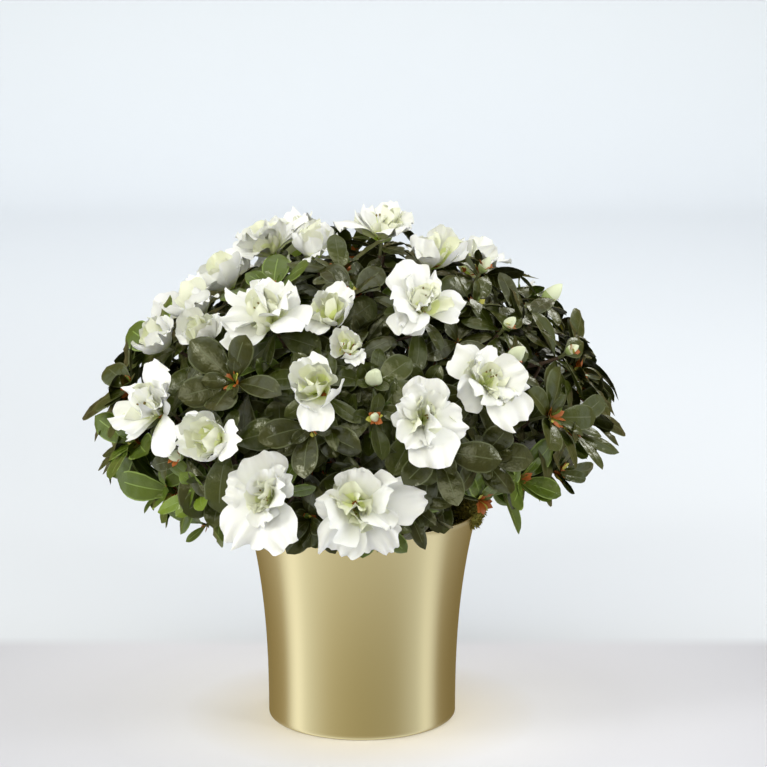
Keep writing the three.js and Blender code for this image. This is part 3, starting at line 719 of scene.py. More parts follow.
def tube(path, radius_at, sides):
    """Rings of points round a path. radius_at takes the share of the length, the angle and the centre."""
    side = across((path[1] - path[0]).normalized())[0]
    points = []
    for i, centre in enumerate(path):
        tangent = (path[min(i + 1, len(path) - 1)] - path[max(i - 1, 0)]).normalized()
        side = (side - tangent * side.dot(tangent)).normalized()
        up = tangent.cross(side)
        for k in range(sides):
            angle = 2 * math.pi * k / sides
            radius = radius_at(i / (len(path) - 1), angle, centre)
            points.append(centre + (side * math.cos(angle) + up * math.sin(angle)) * radius)
    return as_array(points), grid_faces(len(path), sides, wrap=True)


trial_path = smooth_path([HEART, HEART + UP, HEART + 2 * UP], 10)
print("a path through 3 corners in 10 steps has", len(trial_path), "points")

# %% [markdown]
# ## Trunk and boughs
#
# An old azalea has a short, knuckly trunk under thin grey-brown bark that flakes in long strips. A bump
# alone would leave its outline straight. So each point of the tube is pushed in or out by noise that is
# stretched along the limb, and the ridges, the knuckles and the flare of the root are real relief. The
# boughs leave the trunk one above the other, bend at a knee, and end where their masses begin.

# %% Trunk and boughs with their bark
# the lowest fork above the soil, the spread of the forks, and the climb to the knee
BOUGH_FORKS = {"upper": (32, 13, 14), "lower": (11, 18, 8)}


def barky(thick, thin, depth, flare=0.0):
    """A tapering radius with knuckles and long flakes of bark."""

    def radius_at(share, angle, centre):
        round_limb = Vector((4 * math.cos(angle), 4 * math.sin(angle), centre.z * 0.12))
        flakes = noise.noise(round_limb + centre * 0.03)
        knuckles = noise.noise(centre * 0.11)
        foot = flare * math.exp(-12 * share) * (0.8 + 0.2 * math.cos(5 * angle))
        return (thick + (thin - thick) * share) * (1 + foot) * (1 + depth * flakes + 0.12 * knuckles)

    return radius_at


def trunk_part():
    top = masses[0]["direction"]
    corners = [Vector((3, 2, SOIL_TOP - 3)), Vector((3, 2, SOIL_TOP + 6)), HEART]
    corners += [HEART + top * 0.7 * LIMB_LENGTH, HEART + top * LIMB_LENGTH]
    return tube(smooth_path(corners, 60), barky(8, 3, 0.22, flare=0.6), 28)


def bough_part(mass):
    low, spread, climb = BOUGH_FORKS[mass["ring"]]
    level = SOIL_TOP + low + spread * ((3 * mass["index"]) % mass["count"]) / mass["count"]
    start = Vector((1.5, 1, level))
    outwards = Vector((mass["direction"].x, mass["direction"].y, 0)).normalized()
    knee = start + outwards * 20
    knee.z = start.z + climb
    end = HEART + mass["direction"] * LIMB_LENGTH
    corners = [start, knee, HEART + mass["direction"] * 0.72 * LIMB_LENGTH, end]
    return tube(smooth_path(corners, 30), barky(3.7, 2.5, 0.16), 14)


flaky_bark = add_drift(plain_finish("flaky_bark", (0.13, 0.082, 0.048), 0.85), (0.055, 0.036, 0.024), 140)
flaky_bark = add_grain(flaky_bark, 700, 0.5)
boughs = [mass for mass in masses if mass["ring"] != "top"]
limb_points, limb_faces = joined([trunk_part()] + [bough_part(mass) for mass in boughs])
limb_nodes = ["trunk"] + [f"bough_{mass['name']}" for mass in boughs]
mesh_piece("trunk_and_boughs", limb_points, limb_faces, [flaky_bark], stands_for=limb_nodes)

# %% [markdown]
# ## Routes of the twigs
#
# From the tip of each bough a stem runs on, branchlets fork from it towards groups of shoots, and each
# shoot leaves its branchlet in turn, bends, and straightens just behind its whorl or flower. Chance could
# grow the twigs and put leaves where they happen to end. Here the tips come first and the twigs are led to
# them, because the flowers have to stand where they stand on the real plant.

# %% Work out the routes of the shoots
STEM_LENGTH = 22
BRANCHLETS = 3
BRANCHLET_SHARE = 0.5
COLLAR_DROP = 18
BEHIND_TIP = {"leaf": 0, "bud": 0.4, "half": 0.35, "open": 0.35}


def tip_groups(mass):
    side, up = across(mass["direction"])
    groups = [[] for _ in range(BRANCHLETS)]
    for tip in mass["tips"]:
        arm = tip["place"] - HEART
        turn = math.atan2(arm.dot(up), arm.dot(side)) / (2 * math.pi) + 0.5
        groups[min(BRANCHLETS - 1, int(turn * BRANCHLETS))].append(tip)
    return [group for group in groups if group]


def shoot_route(tip, start):
    """From the branchlet to the collar, where the lowest leaves sit, and on to the neck behind the tip."""
    neck = tip["place"] - tip["facing"] * (BEHIND_TIP[tip["kind"]] * tip["size"])
    collar = neck - tip["facing"] * COLLAR_DROP * (1 if tip["kind"] == "leaf" else 0.6)
    bend = start.lerp(collar, 0.55) - UP * 0.06 * (collar - start).length
    return start, bend, collar, neck


def branchlet_routes(mass):
    stem_end = HEART + mass["direction"] * (LIMB_LENGTH + STEM_LENGTH)
    routes = [(HEART + mass["direction"] * (LIMB_LENGTH - 2), stem_end)]
    for order, group in enumerate(tip_groups(mass)):
        centre = sum((tip["place"] for tip in group), Vector()) / len(group)
        fork = stem_end - mass["direction"] * (2.5 + 6 * order)
        end = stem_end.lerp(centre, BRANCHLET_SHARE)
        routes.append((fork, end))
        group.sort(key=lambda tip: (tip["place"] - fork).length)
        for k, tip in enumerate(group):
            share = 0.97 - 0.5 * (len(group) - 1 - k) / len(group)
            tip["route"] = shoot_route(tip, fork.lerp(end, share))
    return routes


stem_routes = [route for mass in masses for route in branchlet_routes(mass)]
print(len(stem_routes), "stems and branchlets")

# %% [markdown]
# ## Where nothing may grow
#
# Leaves and twigs have to keep clear of three things: the pot with its clump of moss, the flowers, and the
# space below the crown's hem. The hem hangs lowest in a ring some way out from the pot, and climbs from
# there both inwards and outwards. Meshes could be tested against each other for this, but a formula for
# each is far quicker. The plain model keeps above the same hem.

# %% Clear of the pot, the hem and the flowers
MOSS_RISE = 8
HEM = {"height": 145, "out": 142, "inwards": 0.36, "outwards": 0.9, "tilt": 0.04}


def clear_of_pot(point):
    low = point.z < POT_HEIGHT + MOSS_RISE
    beside_clump = (point - CLUMP).length < 20
    before_clump = abs(point.x - CLUMP.x) < 15 and point.y < 0 and point.z < CLUMP.z + 8 - 0.21 * point.y
    over_pot = low and math.hypot(point.x, point.y) < RIM_RADIUS + 2
    return not (over_pot or beside_clump or before_clump)


def above_hem(point):
    past = math.hypot(point.x, point.y) - HEM["out"]
    climb = HEM["outwards"] * past if past > 0 else -HEM["inwards"] * past
    return point.z > HEM["height"] + HEM["tilt"] * point.x + climb


def clear_of_flowers(point, own=None, share=0.8):
    return all(t is own or (t["place"] - point).length > share * t["room"] for t in tips if t["room"] > 0)


hem_at_axis = HEM["height"] + HEM["inwards"] * HEM["out"]
print("the hem is", round(hem_at_axis), "mm high at the axis and", HEM["height"], "mm at its lowest")

# %% [markdown]
# ## Side twigs and spurs
#
# The real twigs carry side twigs, so each shoot gets up to three that end deeper in the crown, as deep as
# the pot and the flowers leave room for. More spurs stand low round the trunk. They put leaves behind
# leaves, which is why the plant's inside looks dark instead of empty. A dark core would hide the gaps too,
# but it would show as a lump wherever the crown is thin.

# %% Side twigs, from a generator of their own
SIDE_TWIGS = 3
SPURS = 26
DEPTH_SHARES = (1, 0.75, 0.5)
side_draw = seeded(404)


def side_twigs(tip):
    """Short twigs that leave a shoot past its bend and end under the crown's surface, at the deepest of a few
    places that is clear."""
    _, bend, collar, _ = tip["route"]
    twigs = []
    first = 360 * side_draw()
    for k in range(SIDE_TWIGS):
        depth = 24 + 32 * side_draw()
        turn = first + 360 / SIDE_TWIGS * k + 50 * side_draw()
        facing = leaning(tip["facing"], 18 + 26 * side_draw(), turn)
        beside = collar + leaning(tip["facing"], 90, turn) * (17 + 9 * side_draw())
        size = 28 + 9 * side_draw()
        places = [beside - tip["facing"] * (depth * share - 14) for share in DEPTH_SHARES]
        clear = [p for p in places if clear_of_pot(p) and clear_of_flowers(p) and above_hem(p - UP * 14)]
        if clear:
            place = clear[0]
            route = (bend.lerp(collar, 0.3 + 0.2 * k), bend.lerp(place, 0.6), place - facing * 8, place)
            twigs.append({"kind": "side", "size": size, "place": place, "facing": facing, "route": route})
    return twigs


def spurs():
    """Leafy spurs low round the trunk, in the band that the hem leaves empty above the soil."""
    random = seeded(505)
    grown = []
    for k in range(SPURS):
        outwards = direction_of(GOLDEN_ANGLE * k, 0)
        place = outwards * (20 + 34 * random()) + UP * (168 + 30 * random())
        facing = (outwards + UP * (0.3 + 0.5 * random())).normalized()
        start = Vector((2, 1, place.z - 12))
        route = (start, start.lerp(place, 0.5), place - facing * 8, place)
        size = 30 + 8 * random()
        grown.append({"kind": "side", "size": size, "place": place, "facing": facing, "route": route,
                      "inner": True})
    return grown


side_shoots = [twig for tip in tips for twig in side_twigs(tip)] + spurs()
print(len(side_shoots), "side twigs and spurs")

# %% [markdown]
# ## The twigs' skin
#
# Old wood is brown, and this year's growth behind a whorl is green. The stems, shoots and side twigs get
# tubes that taper towards their tips, and the last part of each shoot takes the green finish. All of them
# are one mesh, because thousands of separate twigs would be hard to keep in order.

# %% Skin the twigs
GREEN_FROM = 0.7


def twig_part(route, thick, thin, steps=7, sides=6):
    return tube(smooth_path(route, steps), lambda share, angle, centre: thick + (thin - thick) * share, sides)


brown_twig = add_grain(plain_finish("brown_twig", (0.085, 0.052, 0.030), 0.8), 900, 0.25)
green_twig = add_grain(plain_finish("green_twig", (0.11, 0.12, 0.04), 0.65), 900, 0.15)
stem_parts = [twig_part(route, 2.3, 1.8, 3, 8) for route in stem_routes]
shoot_parts = [twig_part(tip["route"], 1.5, 1.1) for tip in tips]
side_parts = [twig_part(twig["route"], 1.1, 0.8, 6, 5) for twig in side_shoots]
twig_points, twig_faces = joined(stem_parts + shoot_parts + side_parts)
stem_is_green = [np.zeros(len(faces), dtype=int) for _, faces in stem_parts]
shoot_is_green = [np.arange(len(faces)) / len(faces) > GREEN_FROM for _, faces in shoot_parts + side_parts]
is_green = np.concatenate(stem_is_green + shoot_is_green)
mesh_piece("twigs", twig_points, twig_faces, [brown_twig, green_twig], is_green)

# %% [markdown]
# ## Leaves
#
# An azalea leaf is three to four and a half centimetres long, widest past the middle and rounded to a tiny
# point. It folds slightly along a pale midrib, arches down towards its tip, and is quilted by sunken side
# veins. A flat card with a leaf shape cut out by transparency would not hold up close to, so each leaf is a
# small grid of faces in its own outline: the fold, the arch and the quilting are all in its points.

# %% The shape of one leaf
LEAF_ROWS = 15
LEAF_ACROSS = np.array([-1, -0.9, -0.48, -0.04, 0.04, 0.48, 0.9, 1])
OUTLINE_AT = [0, 0.06, 0.18, 0.34, 0.5, 0.64, 0.78, 0.89, 0.96, 1]
OUTLINE_WIDTH = [0.06, 0.08, 0.3, 0.66, 0.92, 1, 0.93, 0.7, 0.38, 0.04]
VEIN_PAIRS = 4.5


def leaf_arrays(leaves, rows=LEAF_ROWS, across_at=LEAF_ACROSS):
    """Points and faces of many leaves. Each is a dict of its root, directions, sizes and bends."""

    def column(key):
        return np.array([tuple(leaf[key]) for leaf in leaves])[:, None, None, :]

    def number(key):
        return np.array([leaf[key] for leaf in leaves])[:, None, None]

    share = np.linspace(0, 1, rows)[None, :, None]
    spread = across_at[None, None, :]
    half_width = np.interp(share, OUTLINE_AT, OUTLINE_WIDTH) * number("width") / 2
    arch, fold, length = number("arch"), number("fold"), number("length")
    along, face, root = column("along"), column("face"), column("root")
    side = np.cross(face, along)

    quilting = 0.026 * length * np.sin(2 * np.pi * (VEIN_PAIRS * share - 0.6 * abs(spread)))
    lift = half_width * abs(spread) * np.sin(fold) - number("curl") * half_width * spread**2
    lift = lift + quilting * (abs(spread) > 0.1) * (1 - spread**2) * (share > 0.1) * (share < 0.95)
    forward = length * np.sin(arch * share) / arch
    sink = length * (1 - np.cos(arch * share)) / arch

    start_along = along * np.cos(arch / 2)[..., None] + face * np.sin(arch / 2)[..., None]
    start_face = face * np.cos(arch / 2)[..., None] - along * np.sin(arch / 2)[..., None]
    bend = (arch * share)[..., None]
    surface_up = start_face * np.cos(bend) + start_along * np.sin(bend)
    twist = (number("twist") * share)[..., None]
    twisted_side = side * np.cos(twist) + surface_up * np.sin(twist)
    twisted_up = surface_up * np.cos(twist) - side * np.sin(twist)
    points = root + start_along * forward[..., None] - start_face * sink[..., None]
    points = points + twisted_side * (half_width * spread * np.cos(fold))[..., None]
    points = points + twisted_up * lift[..., None]
    faces = repeated(grid_faces(rows, len(across_at)), rows * len(across_at), len(leaves))
    return points.reshape(-1, 3), faces


print("one leaf has", len(grid_faces(LEAF_ROWS, len(LEAF_ACROSS))), "faces")

# %% [markdown]
# ## One leaf on its shoot
#
# A leaf leans out from its shoot, and its tip hangs a little. No two are alike, so its width, arch, fold,
# curl, twist and roll are all drawn afresh within narrow limits. Shape keys could blend between a few
# sculpted leaves, but drawn numbers give more kinds with less work.

# %% Place and bend a leaf
LEAST_LEAN = 36


def leaf_at(root, facing, turn, length, lean, random, age, width):
    reach = leaning(facing, max(LEAST_LEAN, lean), turn) - facing * 0.08 - UP * 0.12
    along = reach.normalized()
    side = facing.cross(along).normalized()
    face = along.cross(side)
    roll = math.radians(44 * (random() - 0.5))
    return {
        "root": root,
        "along": along,
        "face": face * math.cos(roll) + side * math.sin(roll),
        "length": length * reach.length,
        "width": length * width * (0.8 + 0.34 * random()),
        "arch": 0.2 + 0.8 * random(),
        "fold": 0.08 + 0.4 * random(),
        "curl": 0.1 + 0.4 * random(),
        "twist": 0.9 * (random() - 0.5),
        "age": age,
    }


first_leaf = leaf_at(HEART, UP, 0, 40, 60, seeded(1), "dark", 0.5)
print("a leaf that is drawn at 40 mm comes out", round(first_leaf["length"], 1), "mm long")

# %% [markdown]
# ## Whorls
#
# The first number drawn for a shoot turns its whorl, and two more set each leaf's length and lean, in the
# same order as in the plain model, so the big leaves lie where its solids lie. A leaf that would cut into
# the pot or a neighbour's flower folds up towards its shoot until it is clear, as a real one is pushed
# aside. One that is still in the way is left out. A physics simulation would push them apart too, but far
# more slowly.

# %% A whorl whose leaves keep clear of pot and flowers
SMALLER_AND_STEEPER = [(1, 0), (0.9, 12), (0.8, 24), (0.65, 36)]


def fitted_leaf(tip, root, turn, length, lean, random, age, width):
    """A list of the leaf, shorter and folded further up where it isn't clear as drawn, or of nothing."""
    for share, fold in SMALLER_AND_STEEPER:
        leaf = leaf_at(root, tip["facing"], turn, length * share, lean - fold, random, age, width)
        checks = [root + leaf["along"] * leaf["length"] * part for part in (0.5, 0.75, 1)]
        high = "inner" in tip or all(above_hem(p - UP * 5) for p in checks)
        if high and all(clear_of_pot(p) and clear_of_flowers(p, tip) for p in checks):
            return [leaf]
    return []


def whorl(tip, root, first, count, length, lean, random, extra, age, width):
    """Lengths and leans come from one generator, and everything else about the leaves from another."""
    leaves = []
    pitch = 360 / count
    for k in range(count):
        size = length * (0.88 + 0.24 * random())
        tilt = lean + 30 * random()
        leaves += fitted_leaf(tip, root, first + pitch * (k + 0.5), size, tilt, extra, age, width)
    return leaves


print("a leaf is tried", len(SMALLER_AND_STEEPER), "times before it is left out")

# %% [markdown]
# ## The age and width of a whorl's leaves
#
# Old leaves are dark and blunt, and young ones bright and narrow. On the real plant the fresh growth sits
# low at both sides, most of all at the left, so the age is drawn for each whorl with odds that depend on
# its place. Painting the crown from outside with a soft brush would do it too, but odds keep each whorl of
# one age.

# %% Ages and widths by place
AGES = ["old", "dark", "fresh", "young"]
NARROW, BROAD_LEAF = 0.34, 0.52


def freshness(place):
    """How likely new growth is at a place: most of all low on the left, then low on the right."""
    if place.z < 215 and place.x < -60:
        return 0.75
    if place.z < 205 and place.x > 66:
        return 0.34
    return -0.12 if place.x > 40 else 0


def tip_age(tip, random):
    """Mostly dark leaves, and fresh ones where new growth is likely. Elsewhere the listed shoots, the far
    flowers and the spurs round the trunk have none."""
    fresh = freshness(tip["place"])
    leading = "inner" in tip or any(tip is other for other in placed)
    chance = random() - fresh
    if leading and fresh <= 0:
        return "dark" if chance < 0.6 else "old"
    return "young" if chance < -0.62 else "fresh" if chance < 0.14 else "dark" if chance < 0.55 else "old"


def leaf_width(tip, random):
    """Some whorls have narrow leaves, most of all on the right and low on the left."""
    x, y, z = tip["place"]
    share = 0.5 if x > 80 else 0.85 if x < -60 and z < 210 else 0.3
    return NARROW if random() < share else BROAD_LEAF


for side_name, x in [("left", -100), ("right", 100)]:
    print("odds of new growth low at the", side_name, "are", freshness(Vector((x, 0, 200))))

# %% [markdown]
# ## Growing all the leaves
#
# Every shoot gets a collar of three leaves. A leaf shoot ends in a whorl of five, with three short leaves
# and a tuft of narrow fresh ones in its heart, and a flower or bud has three leaves under it. Side twigs
# and spurs get five each. One generator for all the draws would be simpler, but the collar and the whorl
# repeat the plain model's leaves number for number. So their generator is shared with it, and all that is
# finer draws from a second one.

# %% Grow the whorls
PETALS = 5
COLLAR_LEAF = 39


def head_draws(tip, random):
    """The numbers that shape a flower in the plain model, drawn in its order. Here they only keep the draws
    in step.
    """
    return [random() for _ in range(4 * PETALS)] if tip["kind"] in ("open", "half") else []


extra_draw = seeded(909)
leaves = []
for order, mass in enumerate(masses):
    random = seeded(100 + order)
    for tip in mass["tips"]:
        tip["first"] = 360 * random()
        tip["ruffle"] = head_draws(tip, random)
    for tip in mass["tips"]:
        _, _, collar, neck = tip["route"]
        age = tip_age(tip, extra_draw)
        width = leaf_width(tip, extra_draw)
        leaves += whorl(tip, collar, tip["first"], 3, COLLAR_LEAF, 68, random, extra_draw, age, width)
        if tip["kind"] == "leaf":
            leaves += whorl(tip, neck, tip["first"], 5, tip["size"], 46, random, extra_draw, age, width)
            leaves += whorl(tip, neck, tip["first"] + 30, 3, 26, 22, extra_draw, extra_draw, age, 0.42)
            leaves += whorl(tip, neck, tip["first"], 3, 13, 10, extra_draw, extra_draw, "fresh", 0.3)
        else:
            under = neck - tip["facing"] * 5
            leaves += whorl(tip, under, tip["first"] + 40, 3, 30, 66, extra_draw, extra_draw, age, 0.42)
leaves_on_shoots = len(leaves)
for twig in side_shoots:
    age = tip_age(twig, extra_draw)
    turn = 360 * extra_draw()
    width = leaf_width(twig, extra_draw)
    leaves += whorl(twig, twig["place"], turn, 5, twig["size"], 38, extra_draw, extra_draw, age, width)
leaves_on_twigs = len(leaves) - leaves_on_shoots
print(leaves_on_shoots, "leaves on the shoots and", leaves_on_twigs, "on the side twigs and spurs")

# %% [markdown]
# ## The leaves' finishes
#
# The leaves are leathery, with a soft sheen and fine bristles that break it up. Old leaves are almost black
# green and reflect the sky as grey blue, and young ones let light through and look yellow green. A smooth
# thin coat over a rougher leaf gives the sheen, fine noise breaks it up, and the light that a thin leaf
# passes on is stood in for by a brighter base colour. Real light through the leaf would cost far more time
# in the render.

# %% Finishes from old to young, and two for the midribs and the painted highlight on the margins
LEATHERY = {"specular_tint": (0.95, 1, 0.5, 1), "coat_weight": 0.55, "coat_roughness": 0.12}


def leaf_finish(name, colour, drift, roughness):
    finish = plain_finish(name, colour, roughness, **LEATHERY)
    return add_grain(add_drift(finish, drift, 90), 620, 0.24, 3)


leaf_finishes = [
    leaf_finish("leaf_old", (0.017, 0.020, 0.002), (0.029, 0.031, 0.004), 0.34),
    leaf_finish("leaf_dark", (0.024, 0.033, 0.003), (0.039, 0.049, 0.005), 0.36),
    leaf_finish("leaf_fresh", (0.053, 0.088, 0.006), (0.080, 0.122, 0.010), 0.38),
    leaf_finish("leaf_young", (0.120, 0.190, 0.012), (0.160, 0.235, 0.018), 0.44),
    # these two also give the leaf margins a painted highlight
    plain_finish("rib_and_edge_glint_dark", (0.085, 0.098, 0.034), 0.4),
    plain_finish("rib_and_edge_glint_young", (0.19, 0.27, 0.05), 0.45),
]
print(len(leaf_finishes), "finishes for the leaves")

# %% [markdown]
# ## Joining the leaves
#
# The leaves are joined in three pieces, one above the other, and each piece takes the place of one ring of
# plain masses. The midrib is paler than the blade, and the margins are painted paler too, as a highlight
# where the rolled edge catches the light. A pattern would slide off them on such a joined mesh, so their
# columns of faces get a paler finish, all but the last two rows at the leaf's tip.

# %% Join the leaves, in three pieces by height
SKIRT_TOP, SHOULDER_TOP = 212, 262


def leaves_piece(name, chosen, stands_for):
    points, faces = leaf_arrays(chosen)
    columns = len(LEAF_ACROSS) - 1
    age = np.array([AGES.index(leaf["age"]) for leaf in chosen])
    pale_rib_and_edge_glint = np.where(age < AGES.index("fresh"), len(AGES), len(AGES) + 1)
    finish = np.repeat(age[:, None], (LEAF_ROWS - 1) * columns, axis=1).reshape(len(chosen), -1, columns)
    # the two outer columns are the margins, painted paler as a highlight on the rolled edge; the middle one
    # is the midrib
    for column in (0, columns // 2, columns - 1):
        finish[:, :-2, column] = pale_rib_and_edge_glint[:, None]
    return mesh_piece(name, points, faces, leaf_finishes, finish.ravel(), stands_for)


def nodes_of(*rings):
    return [f"foliage_{mass['name']}" for mass in masses if mass["ring"] in rings]


lower = [leaf for leaf in leaves if leaf["root"].z < SKIRT_TOP]
upper = [leaf for leaf in leaves if leaf["root"].z > SHOULDER_TOP]
between = [leaf for leaf in leaves if SKIRT_TOP <= leaf["root"].z <= SHOULDER_TOP]
leaves_piece("leaves_of_the_skirt", lower, nodes_of("lower"))
leaves_piece("leaves_of_the_shoulder", between, nodes_of("upper"))
leaves_piece("leaves_of_the_dome", upper, nodes_of("top"))

# %% [markdown]
# ## Petals
#
# A petal could be sculpted once and copied, but then every flower would show the same creases. So a petal
# is a fan-shaped grid that leaves the throat upright and curls outwards as it goes. Sines whose phases are
# drawn afresh for every petal throw its face into shallow pleats and its edge into waves and a frill. The
# frill is only as fine as the grid can carry, because a finer one would come out as teeth.

# %% The shape of the petals
FAN_AT = [0, 0.15, 0.35, 0.55, 0.75, 1]
FAN_WIDTH = [0.14, 0.24, 0.58, 0.88, 1, 0.86]


def petal_arrays(petals, rows, columns):
    """Points and faces of many petals. Each is a dict of its throat, directions, sizes, leans and waves."""

    def column(key):
        return np.array([tuple(petal[key]) for petal in petals])[:, None, None, :]

    def number(key):
        return np.array([petal[key] for petal in petals])[:, None, None]

    share = np.linspace(0, 1, rows)[None, :, None]
    angle = np.linspace(-np.pi / 2, np.pi / 2, columns)[None, None, :]
    spread, bow = np.sin(angle), 1 - np.cos(angle)
    phase, start, end, length = number("phase"), number("start"), number("end"), number("length")
    fine = 0.45 * (columns - 1)  # waves finer than this would come out as teeth on such a grid
    frill = np.sin(fine * spread + 5 * phase) + 0.6 * np.sin(0.65 * fine * spread + 3 * phase)
    along = share * (1 - 0.36 * bow + 0.05 * np.sin(5 * spread + phase) * share + 0.007 * frill * share**3)

    steps = 24
    lean_steps = start + (end - start) * np.linspace(0, 1, steps + 1)[None, :, None] ** 1.2
    forward_sum = np.cumsum(np.cos(lean_steps), axis=1)[:, :, 0] / steps
    outward_sum = np.cumsum(np.sin(lean_steps), axis=1)[:, :, 0] / steps
    at = np.clip(along * steps, 0, steps - 1e-6)
    low, part = at.astype(int), at - at.astype(int)
    which = np.arange(len(petals))[:, None, None]
    forward = forward_sum[which, low] * (1 - part) + forward_sum[which, low + 1] * part
    outward = outward_sum[which, low] * (1 - part) + outward_sum[which, low + 1] * part

    half_width = np.interp(along, FAN_AT, FAN_WIDTH) * number("width") / 2
    wave = np.sin(4.2 * spread + phase) + 0.5 * np.sin(8.5 * spread + 2.7 * phase)
    pleats = np.sin(0.8 * fine * spread + 2 * phase) + 0.7 * np.sin(1.1 * fine * spread + 4 * phase)
    lift = length * (number("ruffle") * wave * along**2 + number("frill") * frill * along**5)
    lift = lift + 0.006 * length * pleats * along
    lift = lift + number("cup") * half_width * spread**2
    lean = start + (end - start) * along**1.2
    facing, outwards = column("facing"), column("outwards")
    side = np.cross(facing, outwards)
    surface_up = facing * np.sin(lean)[..., None] - outwards * np.cos(lean)[..., None]
    twist = (number("twist") * along)[..., None]
    twisted_side = side * np.cos(twist) + surface_up * np.sin(twist)
    points = column("throat") + facing * (forward * length)[..., None]
    points = points + outwards * (outward * length)[..., None]
    points = points + twisted_side * (half_width * spread)[..., None] + surface_up * lift[..., None]
    return points.reshape(-1, 3), repeated(grid_faces(rows, columns), rows * columns, len(petals))


print("a petal is widest at", FAN_AT[FAN_WIDTH.index(max(FAN_WIDTH))], "of its length")

# %% [markdown]
# ## A row of petals
#
# Petals stand in rows round a throat, which lies a little behind the middle of the flower. The lower petals
# of a sideways flower grow longer and hang, and the upper ones are shorter, as weight and light have it.
# Every petal strays a little from its place, because an even star looks like paper.

# %% Petals round a throat
THROAT_DEPTH = 0.36


def throat_of(tip):
    return tip["place"] - tip["facing"] * THROAT_DEPTH * tip["size"]


def petal_row(kind, tip, count, first, shape, random):
    """A row of petals round a throat. The shape gives their length and width as shares of the flower's size,
    how far they lean out at foot and edge, how much they ruffle, cup and twist, how unevenly they stand, how
    much longer they hang below than above, how far the row looks up, and how much its edge frills."""
    size, stray, petals = tip["size"], shape["stray"], []
    for k in range(count):
        axis = leaning((tip["facing"] + UP * shape["lift"]).normalized(), stray * random(), 360 * random())
        outwards = leaning(axis, 90, first + 360 * (k + 0.45 * (random() - 0.5)) / count)
        hang = shape["hang"] * outwards.z
        grown = 0.78 + 0.36 * random()
        petals.append({
            "kind": kind,
            "throat": throat_of(tip),
            "facing": axis,
            "outwards": outwards,
            "length": shape["length"] * size * grown * (1 - hang),
            "width": shape["width"] * size * (0.3 * random() + 0.9 * grown),
            "start": math.radians(shape["leans"][0] + stray * (random() - 0.5)),
            "end": math.radians(shape["leans"][1] * (1 - hang) + 2.2 * stray * (random() - 0.5)),
            "ruffle": shape["ruffle"] * (0.6 + 0.8 * random()),
            "frill": shape["frill"] * (0.75 + 0.5 * random()),
            "cup": shape["cup"] * (0.7 + 0.6 * random()),
            "twist": shape["twist"] * (random() - 0.5),
            "phase": 6.28 * random(),
        })
    return petals


print("a flower of 30 mm has its throat", THROAT_DEPTH * 30, "mm behind its middle")

# %% [markdown]
# ## Two kinds of flower
#
# The flowers are double: five broad outer petals that roll back, four that stand up between them, and eight
# narrow crumpled ones that hide the heart. The half-open ones are cupped like a small rose. Each row has a
# shape of its own, told in a few numbers, and a flower is a short list of rows. Modelling each flower by
# hand would follow the photo more closely, but a rule dresses the far side too.

# %% One kind open with a crumpled middle, and one half open
def petal_shape(length, width, leans, ruffle, cup, twist, stray, hang=0.0, lift=0.0, frill=0.056):
    return {"length": length, "width": width, "leans": leans, "ruffle": ruffle, "cup": cup, "twist": twist,
            "stray": stray, "hang": hang, "lift": lift, "frill": frill}


BROAD = petal_shape(1.12, 0.92, (32, 88), 0.05, 0.05, 0.7, 22, hang=0.1)
STANDING = petal_shape(0.98, 0.82, (24, 60), 0.08, 0.12, 0.8, 30, hang=0.06, lift=0.1)
CRUMPLED = petal_shape(0.8, 0.58, (28, 24), 0.1, 0.22, 0.9, 34, lift=0.1)
SPREAD = petal_shape(1.12, 0.9, (34, 84), 0.05, 0.1, 0.6, 14, hang=0.15)
CUPPED = petal_shape(1.16, 0.96, (62, -8), 0.04, 0.26, 0.4, 12, frill=0.022)
WRAPPED = petal_shape(1.0, 0.72, (34, -4), 0.08, 0.4, 0.7, 16, frill=0.03)


def open_flower(tip, random):
    first = tip["first"]
    outer = petal_row("outer", tip, 5, first, BROAD, random)
    middle = petal_row("outer", tip, 4, first + 36, STANDING, random)
    return outer + middle + petal_row("inner", tip, 8, first + 10, CRUMPLED, random)


def half_flower(tip, random):
    first = tip["first"]
    low = petal_row("outer", tip, 2, first, SPREAD, random)
    cupped = petal_row("outer", tip, 4, first + 30, CUPPED, random)
    return low + cupped + petal_row("inner", tip, 5, first + 70, WRAPPED, random)


petal_draw = seeded(31)
grow_flower = {"open": open_flower, "half": half_flower}
flower_tips = [tip for tip in tips if tip["kind"] in grow_flower]
petals = [petal for tip in flower_tips for petal in grow_flower[tip["kind"]](tip, petal_draw)]
print(len(petals), "petals in", len(flower_tips), "flowers")

# %% [markdown]
# ## The petals' finish
#
# The petals are white, thin and matt, and a breath of green creeps up from the throat into the inner ones,
# which are cream. A picture painted over the petals could carry that, but the flowers are one joined mesh
# without a flat layout, so the tints are four plain colours, given to the rows of faces from the throat
# outwards. A petal is so thin that it glows on its shaded side, so some of the light spreads under its
# surface.

# %% Four tints from the edge to the throat
THIN = {"subsurface_weight": 0.35, "subsurface_radius": (1, 1, 0.8), "subsurface_scale": 0.004}


def petal_finish(name, colour):
    return plain_finish(name, colour, 0.5, **THIN)


petal_finishes = [
    add_grain(petal_finish("petal_white", (0.89, 0.90, 0.87)), 500, 0.08, 2),
    add_grain(petal_finish("petal_ivory", (0.89, 0.91, 0.74)), 500, 0.08, 2),
    add_grain(petal_finish("petal_cream", (0.86, 0.92, 0.50)), 500, 0.08, 2),
    petal_finish("petal_throat", (0.60, 0.79, 0.12)),
]
print("petal finishes:", [finish.name for finish in petal_finishes])

# %% [markdown]
# ## Joining the petals
#
# The petals are joined in two pieces, left and right of the crown's middle, each small enough to be
# exported well. Outer petals have finer grids than inner ones, because their frilled edges show. The lists
# say which tint each row of faces takes, from the throat outwards.

# %% Join the petals
PETAL_GRIDS = {"outer": (15, 31), "inner": (11, 19)}
TINTS = {"outer": [3, 3, 2, 2, 1, 1] + [0] * 8, "inner": [3, 3, 2, 2, 2, 2, 1, 1, 1, 1]}


